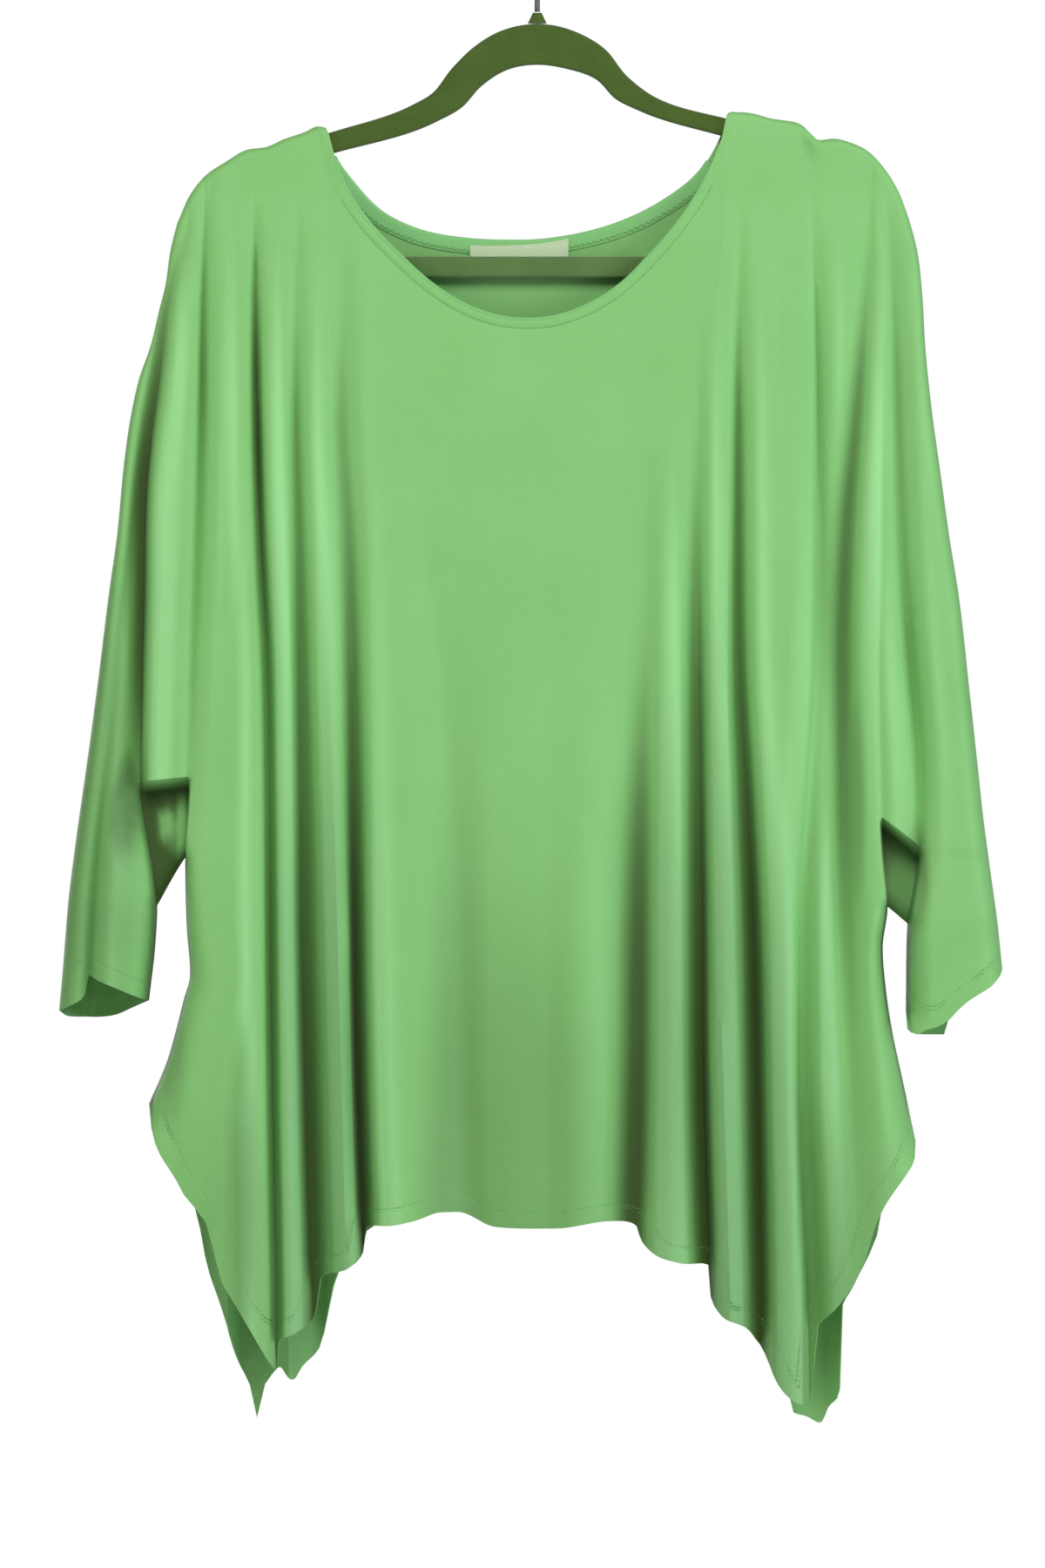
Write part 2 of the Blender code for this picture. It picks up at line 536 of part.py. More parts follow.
def hanger_hook(finish, collection):
    """A wire that rises from the collar and bends over the rail."""
    reach = HOOK_INSIDE + WIRE / 2
    turn = np.linspace(np.radians(205), np.radians(-52), 22)
    arc = [(reach * np.cos(a), reach * np.sin(a) - HOOK_INSIDE) for a in turn]
    start = HUMP_TOP - COLLAR_HEIGHT - 2 * SEAM_GAP
    stem = [(0, -start), (0, -start + 8), (-0.5, -start + 15), (-3.5, -start + 22), (-9, -start + 30)]
    tail = [(arc[-1][0] - 2.5, arc[-1][1] - 1.6)]
    curve = bpy.data.curves.new("hanger_hook", "CURVE")
    curve.dimensions = "3D"
    curve.bevel_depth = WIRE / 2 * MM
    curve.bevel_resolution = 2
    curve.use_fill_caps = True
    path = stem + [(-15.8, -37.5)] + arc + tail
    spline = curve.splines.new("POLY")
    spline.points.add(len(path) - 1)
    for point, (x, z) in zip(spline.points, path):
        point.co = (x * MM, 0, z * MM, 1)
    curve.materials.append(finish)
    made = bpy.data.objects.new("hanger_hook", curve)
    collection.objects.link(made)
    return made


def label_wall(panel):
    """A small blank label, flat on the facing below the middle of the back neck."""
    inset = JERSEY + FACING_GAP + FACING + SEAM_GAP
    half = LABEL_SIZE[0] / 2
    edge = tuple((x, np.interp(x, *zip(*panel.neck)) + 1.2) for x in np.linspace(-48, 26, 8))
    ends = (LABEL_CENTRE - half, LABEL_CENTRE + half)
    return strip_wall(panel, edge, LABEL_SIZE[1], inset, LABEL_THICK, ends, 9)


def main():
    for old in list(bpy.data.objects):
        bpy.data.objects.remove(old, do_unlink=True)
    parts = bpy.data.collections.new("jersey_top_on_hanger")
    bpy.context.scene.collection.children.link(parts)
    jersey = material("jersey", JERSEY_GREEN, 0.8)
    facing = material("facing", FACING_GREEN, 0.85)
    front = Panel("front", 1, FRONT_FOLDS, NECK_FRONT, HEM_FRONT, CUFFS_FRONT, True)
    back = Panel("back", -1, BACK_FOLDS, NECK_BACK, HEM_BACK, CUFFS_BACK, False)
    for panel in (front, back):
        us = panel.columns(BESIDE_FOLD, BESIDE_SEAM, WIDEST_CELL)
        vertices, faces = panel.wall(us, TOP_ROWS, NOTCH_ROWS, LOW_ROWS, JERSEY)
        mesh_object(panel.name + "_panel", vertices, faces, jersey, parts)
        ends = (panel.neck[0][0] + CLEAR_OF_ARMS[0], panel.neck[-1][0] - CLEAR_OF_ARMS[1])
        inset = JERSEY + FACING_GAP
        band = strip_wall(panel, panel.neck, FACING_WIDTH, inset, FACING, ends, 26)
        mesh_object(panel.name + "_neck_facing", *band, facing, parts)
    mesh_object("neck_label", *label_wall(back), material("label", LABEL_CREAM, 0.7), parts)
    flock = material("flock", FLOCK_GREEN, 0.9)
    hanger_body(flock, parts)
    hook_collar(flock, parts)
    hanger_hook(material("chrome", CHROME, 0.2, 1.0), parts)


main()
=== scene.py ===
"""Looks for a wide light green jersey shirt that hangs on a slim flocked hanger.

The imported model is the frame. Thin cloth shells stand for its panels, with the folds that fan out
from the hanger's ends, a turned neck edge with its facing, stitch rows and a blank label. A smooth
flocked loop stands for the hanger's body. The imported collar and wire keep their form, with finishes.

Tables are in millimetres: across is X, and drop is the distance below the origin.
"""

import json
import logging
from dataclasses import dataclass, field
from enum import Enum
from typing import Any, Union

import bpy
import numpy as np
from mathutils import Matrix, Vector

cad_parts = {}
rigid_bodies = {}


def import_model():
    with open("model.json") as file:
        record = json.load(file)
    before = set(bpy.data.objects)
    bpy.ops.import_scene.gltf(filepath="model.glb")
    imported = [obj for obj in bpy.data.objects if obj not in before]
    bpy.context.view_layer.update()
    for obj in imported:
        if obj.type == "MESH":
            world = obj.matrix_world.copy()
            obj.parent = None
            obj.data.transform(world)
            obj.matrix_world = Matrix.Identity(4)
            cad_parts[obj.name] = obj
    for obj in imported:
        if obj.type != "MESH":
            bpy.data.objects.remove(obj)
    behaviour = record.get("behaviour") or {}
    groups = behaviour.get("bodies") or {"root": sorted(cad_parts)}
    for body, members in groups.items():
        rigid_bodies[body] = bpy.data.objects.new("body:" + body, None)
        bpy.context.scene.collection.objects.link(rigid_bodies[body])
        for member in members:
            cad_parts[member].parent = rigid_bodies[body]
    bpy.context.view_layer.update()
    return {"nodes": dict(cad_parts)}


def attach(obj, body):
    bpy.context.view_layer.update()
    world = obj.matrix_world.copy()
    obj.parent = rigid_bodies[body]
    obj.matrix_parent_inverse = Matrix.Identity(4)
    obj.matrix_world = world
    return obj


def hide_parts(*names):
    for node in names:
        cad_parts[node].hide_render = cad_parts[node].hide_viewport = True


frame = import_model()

Array = np.ndarray
Values = Union[Array, tuple, list]
Numbers = tuple[float, ...]
Pair = tuple[float, float]
Place = tuple[float, float, float]
Points = tuple[Pair, ...]
Threads = tuple[Array, Array, Array]
Collection = bpy.types.Collection
Material = bpy.types.Material
Piece = bpy.types.Object
Socket = bpy.types.NodeSocket
Term = Union["Signal", Socket, float, tuple]

log = logging.getLogger("scene")

MM = 0.001

# Drops at which the fold rows give their places and depths
DROPS = (190, 250, 320, 400, 480, 560, 640, 720, 860)
# By drop: how far the folds' tops stand out, the least left in a valley, and the valleys' opening
CROWN = ((140, 4.6), (190, 5.4), (215, 8.4), (300, 13), (400, 20), (550, 29), (700, 33), (950, 35))
FLOOR = ((140, 4.4), (262, 4.4), (300, 3.2), (950, 2.6))
OPENING = ((190, 0.6), (250, 0.8), (380, 1))
# Between which drops the valleys change their width, and how square their sides are
WIDENS = (380.0, 640.0)
VALLEY_POWER = 1.7
# By what share the shirt's middle stands out less, and how far from the middle that reaches
MIDDLE_DIP = 0.2
MIDDLE_HALF = 95.0
# Half the gap between the two panels at a seam
SEAM_HALF = 0.15

# Seeded waves as (wide, tall, height), and their strength by drop
WAVES = ((26, 150, 0.5), (14, 90, 0.28), (40, 60, 0.35), (9, 45, 0.12))
UNEVEN = ((255, 0), (330, 0.7), (600, 1), (950, 1.3))

# The cloth's thickness, and how far its stitches and its facing lie from its edges
JERSEY = 0.8
HEM_TURN = 10.0
TWIN_GAP = 1.6
NECK_STITCH = 6.0
NECK_STITCH_CLEAR = 9.0
FACING_WIDTH = 8.5
NECK_CLEAR = (6.0, 14.0)

# The blank label's ends across, its drop below the neck's edge at both ends, and its section
LABEL_ENDS = (-41.0, 19.0)
LABEL_DROP = (3.0, 0.8)
LABEL_SECTION = (
    (0.6, -2.15), (7, -2.15), (14, -2.2), (20.2, -2.3), (20.2, -2.0), (14, -1.95), (7, -1.9), (0.6, -1.9),
)

# How the folds' depth turns into painted shade: in a valley, beside one, in a tuck and inside; and into a
# painted highlight on the crests
SHADE_FROM, SHADE_TO = 0.27, 0.9
NEARBY = 9.0
NEARBY_FROM, NEARBY_TO = 4.0, 20.0
NEARBY_SHADE = 0.4
TUCK_SHADE = 0.9
INSIDE_PAINTED_SHADE = 0.14
CREST_REACH = 14.0
CREST_FROM, CREST_HEIGHT = 0.3, 9.0
CREST_CLEAR = 0.85


class Side(Enum):
    """The two halves of the garment, valued by the way their outer faces look along -Y."""

    FRONT = 1
    BACK = -1


class Stitch(Enum):
    """Rows of stitches: how many run side by side."""

    SINGLE = 1
    TWIN = 2


# Seams as (across, drop), shared by both sides
SHOULDER_LEFT = (
    (-220, 207), (-217, 200), (-213, 191), (-202, 177), (-190, 169), (-178, 162), (-165, 160),
    (-155, 155.5), (-142, 151), (-134, 147.6), (-129.5, 148.4),
)
SHOULDER_RIGHT = (
    (118, 138.8), (127, 139), (144, 143), (162, 147), (167, 152), (172, 156), (181, 155),
    (190, 157), (201, 162), (211, 172), (220, 186), (227, 204),
)
OVERARM_LEFT = (
    (-220, 207), (-224, 223), (-227, 244), (-231, 260), (-236, 281), (-243, 301), (-248, 323),
    (-252, 350), (-257, 400), (-261, 428), (-268, 484), (-274, 529), (-281, 578), (-286, 617),
    (-290, 665), (-292, 687),
)
OVERARM_RIGHT = (
    (227, 204), (232, 223), (235, 248), (237, 282), (241, 321), (246, 357), (252, 400),
    (257, 431), (264, 492), (269, 538), (272, 566), (277, 604), (281, 633), (284, 662),
)
UNDERARM_LEFT = (
    (-213, 210), (-224, 250), (-229.5, 294), (-238, 358), (-240.5, 442), (-241.5, 490),
    (-242, 550), (-239, 573), (-234, 600), (-232, 623), (-233, 645), (-237, 681),
)
SIDE_LEFT = (
    (-202, 190), (-204, 250), (-205, 320), (-207, 400), (-210, 480), (-213, 560), (-215, 594),
    (-214, 637), (-212, 665), (-216, 681), (-220, 697), (-226, 718), (-237, 744),
)
UNDERARM_RIGHT = (
    (213, 195), (217, 250), (219.5, 320), (222, 400), (227.5, 480), (232, 548), (232, 591),
    (226, 634), (225, 687),
)
SIDE_RIGHT = (
    (206, 190), (211, 220), (213, 250), (210.5, 320), (209.5, 400), (208.5, 480), (209.5, 550),
    (211, 590), (214, 624), (211, 649), (213, 675), (217, 701), (223, 729), (231, 767),
)

# Free edges
NECK_FRONT = (
    (-129.5, 148.4), (-127, 153), (-125, 162), (-115, 188), (-99, 210.5), (-83, 227), (-62, 245.5),
    (-41, 258), (-20, 264.5), (-4, 265.5), (12, 263.5), (33, 255.5), (52, 243), (66, 229),
    (96, 191), (113, 154), (118, 138.8),
)
NECK_BACK = (
    (-129.5, 148.4), (-127, 153), (-125, 162), (-112, 182), (-94, 200), (-76, 209), (-41, 216),
    (-10, 217), (20, 214), (47, 207), (73, 195), (99, 175), (113, 151), (118, 138.8),
)
HEM_FRONT = (
    (-237, 744), (-230, 771), (-219, 789), (-213, 800), (-203, 811), (-199, 820), (-198, 838),
    (-189, 855), (-177, 875), (-166, 894), (-158, 907), (-157, 888), (-147, 882), (-137, 875),
    (-134, 866), (-132, 850), (-115, 843), (-107, 836), (-105, 824), (-103, 818), (-88, 817),
    (-74, 814), (-58, 809), (-49, 809), (-25, 818), (10, 819), (43, 815), (61, 819), (63, 826),
    (70, 834), (87, 840), (105, 843), (106, 862), (112, 872), (128, 880), (134, 888), (138, 894),
    (141, 901), (144, 909), (148, 916), (157, 924), (163, 926), (168, 923), (169, 882),
    (183, 865), (195, 846), (200, 834), (205, 817), (210, 806), (220, 791), (228, 779), (231, 767),
)
HEM_BACK = (
    (-237, 744), (-230, 771), (-219, 789), (-212, 805), (-207, 824), (-203, 845), (-193, 872),
    (-183, 906), (-177, 918), (-175, 924), (-174, 935), (-172, 939), (-170, 934), (-169, 922),
    (-163, 912), (-158, 907), (-150, 914), (-145, 907), (-134, 896), (-132, 889), (-129, 881),
    (-127, 865), (-105, 824), (-78, 812), (-41, 811), (-30, 818), (-9, 820), (12, 815), (44, 811),
    (65, 822), (97, 838), (106, 842), (108, 865), (118, 877), (128, 883), (134, 889), (139, 897),
    (144, 908), (155, 922), (157, 934), (166, 938), (174, 942), (180, 931), (184, 927),
    (186, 920), (187, 871), (195, 856), (203, 841), (209, 827), (211, 808), (220, 791),
    (228, 779), (231, 767),
)
CUFFS_FRONT = (
    (-292, 687), (-285, 684), (-276, 679), (-273, 665), (-267, 668), (-253, 674), (-237, 681),
    (225, 687), (229.5, 701), (236, 698), (243, 696), (252, 690), (256, 685), (267, 677),
    (275, 672), (284, 662),
)
CUFFS_BACK = (
    (-292, 687), (-289, 691), (-274, 692), (-260, 691), (-248, 686), (-237, 681),
    (225, 687), (229.5, 701.5), (242, 703), (254, 703), (255, 687), (266, 676), (284, 662),
)

# Where the front rolls under between sleeve and side, and where the underarm seam ends, by drop
SWAG = {"overarm_left": 551, "underarm_left": 551, "side_left": 548, "side_right": 573,
        "underarm_right": 590, "overarm_right": 592}
NOTCH = {"overarm_left": 617, "underarm_left": 623, "side_left": 594, "side_right": 624,
         "underarm_right": 634, "overarm_right": 630}
SWAG_HALF = 3.5
SWAG_DEPTH = 7.0

# Radii with which the cloth rounds to its seams, by drop
ROUND_LEFT = ((140, 4.4), (207, 4.4), (260, 7), (400, 12), (700, 16))
ROUND_RIGHT = ((140, 4.4), (207, 4.4), (260, 6), (400, 9), (700, 15))
ROUND_SIDE = ((594, 8), (680, 14), (744, 20))


def smooth(at: Array, knots: Values, values: Values) -> Array:
    """A curve through values at knots, with no overshoot between two equal values.

    Args:
        at: Where to read the curve.
        knots: Rising places of the known values.
        values: The known values.

    Returns:
        The curve's values, as an array.
    """
    knots, values = np.asarray(knots, float), np.asarray(values, float)
    spans = np.diff(knots)
    slopes = np.diff(values) / spans
    inner = (slopes[:-1] * spans[1:] + slopes[1:] * spans[:-1]) / (spans[:-1] + spans[1:])
    most = 3 * np.minimum(np.abs(slopes[:-1]), np.abs(slopes[1:]))
    inner = np.where(slopes[:-1] * slopes[1:] > 0, np.clip(inner, -most, most), 0)
    tangents = np.concatenate([slopes[:1], inner, slopes[-1:]])
    at = np.clip(at, knots[0], knots[-1])
    i = np.clip(np.searchsorted(knots, at, side="right") - 1, 0, len(slopes) - 1)
    span = knots[i + 1] - knots[i]
    s = (at - knots[i]) / span
    start, end = s * s * (3 - 2 * s), s * (1 - s) * span
    return (
        values[i] * (1 - start) + values[i + 1] * start
        + end * ((1 - s) * tangents[i] - s * tangents[i + 1])
    )


def soft_step(x: Array, low: float, high: float) -> Array:
    """0 below low, 1 above high, smooth between."""
    s = np.clip((x - low) / (high - low), 0, 1)
    return s * s * (3 - 2 * s)


def by_drop(table: Points, drop: Array) -> Array:
    """Reads a short (drop, value) table in straight steps.

    Args:
        table: Pairs of drop and value.
        drop: Where to read it.

    Returns:
        The values there.
    """
    drops, values = zip(*table)
    return np.interp(drop, drops, values)


def rounded_path(path: Points, step: float = 1.5) -> Array:
    """A dense smooth line through a path's points.

    Args:
        path: (across, drop) pairs.
        step: Spacing of the new points, in millimetres.

    Returns:
        The dense line, as an array of (across, drop).
    """
    xs, drops = np.array(path, float).T
    run = np.concatenate([[0], np.cumsum(np.hypot(np.diff(xs), np.diff(drops)))])
    at = np.linspace(0, run[-1], max(int(run[-1] / step), 2))
    return np.stack([smooth(at, run, xs), smooth(at, run, drops)], axis=1)


def evened(values: Array, width: int) -> Array:
    """Values in a row, each the mean of those round it, with the ends held."""
    return np.convolve(np.pad(values, width // 2, mode="edge"), np.ones(width) / width, "valid")


def to_path(x: Array, drop: Array, path: Values) -> Array:
    """The distance from each point to a path of straight pieces.

    Args:
        x: Across, any shape.
        drop: Drops, the same shape.
        path: (across, drop) pairs.

    Returns:
        Distances in millimetres, the same shape.
    """
    path = np.asarray(path, float)
    nearest = np.full(np.shape(x), np.inf)
    for (ax, ad), (bx, bd) in zip(path[:-1], path[1:]):
        length = (bx - ax) ** 2 + (bd - ad) ** 2
        part = np.clip(((x - ax) * (bx - ax) + (drop - ad) * (bd - ad)) / length, 0, 1)
        away = np.hypot(x - ax - part * (bx - ax), drop - ad - part * (bd - ad))
        nearest = np.minimum(nearest, away)
    return nearest


@dataclass(frozen=True)
class Line:
    """Something that runs down a panel: a fold's valley, a seam, or a guide of the mesh.

    Attributes:
        name: What it is called.
        places: Across, at each of DROPS, or empty where path is given.
        depths: How deep its valley is, at each of DROPS.
        left: The half width of its left side, high up and low down.
        right: The half width of its right side, high up and low down.
        path: A seam's own (across, drop) points.
    """

    name: str
    places: Numbers = ()
    depths: Numbers = ()
    left: Pair = (4, 4)
    right: Pair = (4, 4)
    path: Points = ()

    @property
    def turns(self) -> bool:
        """Whether the cloth turns sharply here, at a real valley or at a seam."""
        return bool(self.path) or max(self.depths, default=0) > 2

    def across(self, drop: Array) -> Array:
        """Finds where it lies.

        Args:
            drop: Drops, any shape.

        Returns:
            Across at these drops, the same shape.
        """
        if self.path:
            xs, drops = zip(*self.path)
            return smooth(drop, drops, xs)
        return smooth(drop, DROPS, self.places)

    def valley(self, x: Array, drop: Array) -> Array:
        """How far its valley takes the cloth back from the folds' tops.

        Args:
            x: Across, an array.
            drop: Drops, the same shape.

        Returns:
            Depths in millimetres, the same shape.
        """
        if not any(self.depths):
            return np.zeros(np.shape(x))
        aside = x - self.across(drop)
        lower = np.clip((drop - WIDENS[0]) / (WIDENS[1] - WIDENS[0]), 0, 1)
        left = self.left[0] + (self.left[1] - self.left[0]) * lower
        right = self.right[0] + (self.right[1] - self.right[0]) * lower
        width = np.where(aside < 0, left, right) * by_drop(OPENING, drop)
        return smooth(drop, DROPS, self.depths) * np.exp(-(np.abs(aside / width) ** VALLEY_POWER))


@dataclass(frozen=True)
class Spot:
    """A small soft oval of painted shade on the cloth, or, with a negative amount, a painted lighter patch.

    Attributes:
        across: Its middle.
        drop: Its middle's drop.
        wide: Half its width.
        tall: Half its height.
        hollow: How much shade it paints, up to 1. Below 0 it takes that share of the painted shade away,
            painting the place lighter.
        lean: How far it shifts across for each millimetre of drop.
    """

    across: float
    drop: float
    wide: float
    tall: float
    hollow: float
    lean: float = 0.0

    def shade(self, deep: Array, x: Array, drop: Array) -> Array:
        """Lays this spot over the painted shade.

        Args:
            deep: The painted shade without it.
            x: Across, the same shape.
            drop: Drops, the same shape.

        Returns:
            The painted shade with it.
        """
        down = drop - self.drop
        away = np.hypot((x - self.across - self.lean * down) / self.wide, down / self.tall)
        share = 1 - soft_step(away, 0.4, 1.2)
        if self.hollow < 0:
            return deep * (1 + self.hollow * share)
        return np.maximum(deep, self.hollow * share)


FRONT_LINES = (
    Line("overarm_left", path=OVERARM_LEFT),
    Line("sleeve_ripple", (-214, -226.3, -239, -248, -256.5, -265, -271.4, -274, -274),
         (0, 1, 2.2, 4, 5.8, 7.4, 8.7, 9.3, 9.5), (4, 4), (5, 5)),
    Line("underarm_left", (), (0, 4.8, 10.5, 16, 19, 15, 5, 4, 4), (9, 13), (4, 4), UNDERARM_LEFT),
    Line("side_left", (), (2, 5.3, 8, 7.5, 5.5, 3, 0.7, 0, 0), (3, 3), (6, 6), SIDE_LEFT),
    Line("tip_fold_left", (-172, -171.8, -171, -168.5, -164.5, -163.2, -162.7, -161.7, -159),
         (0, 6.5, 12, 14, 14.5, 16, 18.5, 19.4, 19), (4, 3), (4, 5)),
    Line("second_left", (-146.3, -147.3, -147.3, -145.5, -144.5, -143.5, -143, -141, -137),
         (0, 2.8, 7, 11, 15.5, 20, 23.5, 26, 27), (5, 6), (6, 16)),
    Line("neck_end_left", (-129.5, -131.5, -130.3, -128, -126.4, -124.8, -122.8, -120.6, -117)),
    Line("neck_side_left", (-127, -126.5, -124.1, -121, -119.3, -117.8, -115.8, -113.6, -110)),
    Line("third_left", (-116.1, -119.2, -119.4, -115.2, -113.2, -112.5, -112, -110.5, -105.5),
         (0, 2.6, 6.5, 10.6, 15.3, 20.3, 24.2, 26.2, 27), (10, 3), (9, 10)),
    Line("chest_left", (-80, -77.9, -73.7, -68.9, -58.3, -51.4, -46.1, -45.1, -40.8),
         (0, 0, 0, 1.1, 2.8, 4.4, 6, 7.1, 8), (9, 13), (20, 17)),
    Line("chest_middle", (1.1, 2.7, 5.8, 7.4, 8.5, 8.5, 6.9, 6.9, 6.9),
         (0, 0, 0, 0.1, 0.4, 1.2, 2.2, 2.9, 3.5), (10, 12), (12, 14)),
    Line("third_right", (71.5, 69.4, 67.3, 66.2, 65.2, 63.6, 62.5, 62, 58.3),
         (0, 0, 0, 2.5, 7.8, 14.8, 19.3, 21.4, 23), (15, 20), (8, 12)),
    Line("second_right", (100.2, 99.1, 98.1, 97.5, 98.1, 99.1, 100.2, 100.7, 104.9),
         (0, 0, 2.2, 8.5, 15, 20, 24, 26.5, 27.5), (8, 12), (5.5, 6.5)),
    Line("neck_side_right", (115.5, 110, 108.1, 108, 108, 108, 110, 112.6, 117)),
    Line("neck_end_right", (118, 116, 115.2, 115, 115, 115, 117, 119.6, 124)),
    Line("first_right", (124.5, 123, 122.5, 122.5, 123.3, 127.5, 131.3, 133.3, 136),
         (0, 3, 8, 12.5, 16.5, 21.5, 25.5, 27.5, 28), (5, 10), (5.5, 8)),
    Line("dent_right", (143.6, 148.4, 151.6, 154.8, 152.1, 153.2, 156.3, 156.3, 156.3),
         (0, 1.5, 1.5, 1, 0.5, 0, 0, 0, 0), (5.5, 5), (7, 6)),
    Line("tip_fold_right", (167, 169.5, 171, 171, 170, 165, 160.1, 160, 165.4),
         (0.5, 4, 6.5, 7, 7, 7.5, 10.5, 15, 18.5), (3, 3.6), (7, 12)),
    Line("side_fold_right", (203, 200.5, 196, 189.5, 186.5, 186.5, 187.5, 190.5, 197),
         (1, 4.2, 8.5, 13, 15.5, 17, 15, 12, 0), (13, 8), (5.5, 14)),
    Line("side_right", (), (0, 0.5, 1, 1.5, 2, 2, 0.6, 0, 0), (2, 2), (3, 3), SIDE_RIGHT),
    Line("underarm_right", (), (0.6, 4, 7, 9, 11.5, 9, 3.4, 3, 3), (6, 3), (8, 7), UNDERARM_RIGHT),
    Line("overarm_right", path=OVERARM_RIGHT),
)
# Ovals of painted shade; those with a negative amount are painted lighter patches
FRONT_SPOTS = (
    Spot(-46, 830, 28, 300, 0.36),
    Spot(-6, 850, 62, 270, 0.3),
    Spot(60, 880, 120, 150, 0.18),
    Spot(165, 840, 60, 130, 0.26),
    Spot(-190, 850, 60, 110, 0.14),
    Spot(-272, 575, 34, 190, 0.3),
    Spot(-250, 562, 13, 44, 0.64, -0.08),
    Spot(231, 604, 8, 34, 0.62),
    Spot(-226, 574, 6, 13, -1.0),
    Spot(-217, 576, 4.5, 21, -1.0, -0.04),
    Spot(222, 612, 13, 28, -0.5),
    Spot(-178, 810, 10, 110, 0.38),
    Spot(-221, 722, 9, 50, 0.2),
    Spot(193, 560, 8, 75, 0.3),
    Spot(166, 160, 4, 8, 0.2, 0.5),
)
BACK_LINES = (
    Line("overarm_left", path=OVERARM_LEFT),
    Line("sleeve_ripple", (-214, -226, -236.6, -247, -256.8, -264.8, -269.8, -272, -272),
         (0, 1.8, 3.7, 5.8, 7, 6.8, 6.5, 6.6, 7), (4, 4), (6, 6)),
    Line("underarm_left", (), (0, 3.7, 7.4, 10.5, 12, 9.3, 4.6, 4, 4), (8, 8), (4, 4), UNDERARM_LEFT),
    Line("side_left", (), (2, 4.1, 6.2, 8.1, 9, 6, 0.7, 0, 0), (3, 3), (5, 5), SIDE_LEFT),
    Line("tip_fold_left", (-180, -181, -182.4, -184, -185.1, -186.2, -187.5, -188.6, -190),
         (0, 4.8, 9.5, 12.9, 15.2, 17, 17.9, 17.4, 13.5), (5, 6), (4, 4)),
    Line("second_left", (-150, -152, -154.1, -156, -156.8, -157, -155.6, -154.2, -152),
         (0, 4.8, 9.5, 12.8, 15.2, 17.9, 20.4, 21.5, 21.5), (4, 4), (6, 7)),
    Line("neck_end_left", (-129.5, -131.5, -133.1, -134.5, -135.6, -136, -134.6, -133.2, -131)),
    Line("neck_side_left", (-127, -126.5, -127.2, -128.5, -129.5, -130, -128.6, -127.2, -125)),
    Line("third_left", (-116, -117, -118.8, -121, -123.1, -124, -122.6, -121, -118),
         (0, 1.6, 3.9, 7.5, 11.5, 15.7, 19.8, 22.4, 24.5), (6, 7), (4, 5)),
    Line("blade_left", (-92, -90, -88.2, -86, -82.8, -79.6, -77, -74.3, -70),
         (0, 0, 0, 2, 5.6, 9.7, 14.2, 16.9, 19), (8, 8), (7, 9)),
    Line("back_middle", (-20, -18, -16.1, -14, -11.9, -9.7, -6.8, -5.2, -4),
         (0, 0, 0, 0.9, 2.4, 3.5, 4.6, 5.6, 7), (14, 14), (12, 12)),
    Line("blade_right", (60, 58, 55.2, 52, 49.2, 46.7, 44.7, 42.9, 40),
         (0, 0, 0, 1, 3.2, 6.4, 10.3, 13, 16), (9, 11), (8, 8)),
    Line("third_right", (93, 92, 91, 90, 89, 87.8, 86.5, 85.4, 84),
         (0, 0.8, 2.3, 6.1, 10.5, 15.1, 19.7, 22.4, 24.5), (5, 5), (8, 9)),
    Line("neck_side_right", (116.4, 110, 108.5, 109, 108.6, 107.8, 105.7, 104.3, 103)),
    Line("neck_end_right", (118, 115, 113.6, 113, 112.6, 111.8, 109.7, 108.3, 107)),
    Line("second_right", (124, 125, 126.2, 127, 126.8, 125.8, 122.9, 120.9, 119),
         (0, 3.3, 7, 10.6, 14.1, 17.7, 21, 23.1, 24.5), (6, 7), (5, 5)),
    Line("first_right", (150, 152, 153.1, 154, 155.9, 157, 156.4, 155.1, 152),
         (0, 4.8, 9.5, 12.8, 15.2, 17.3, 19, 20.2, 21.5), (4, 4), (6, 8)),
    Line("tip_fold_right", (178, 180, 181.5, 183, 185.3, 187.2, 187.8, 188.3, 189),
         (1, 5.2, 9.5, 12.9, 15.3, 16.6, 17, 16.2, 11), (5, 6), (4, 4)),
    Line("side_right", (), (2, 4.2, 6.2, 7.5, 8, 5.3, 0.6, 0, 0), (4, 4), (3, 3), SIDE_RIGHT),
    Line("underarm_right", (), (0, 3.8, 7.4, 9.9, 11, 8.3, 3.6, 3, 3), (4, 4), (7, 7), UNDERARM_RIGHT),
    Line("overarm_right", path=OVERARM_RIGHT),
)


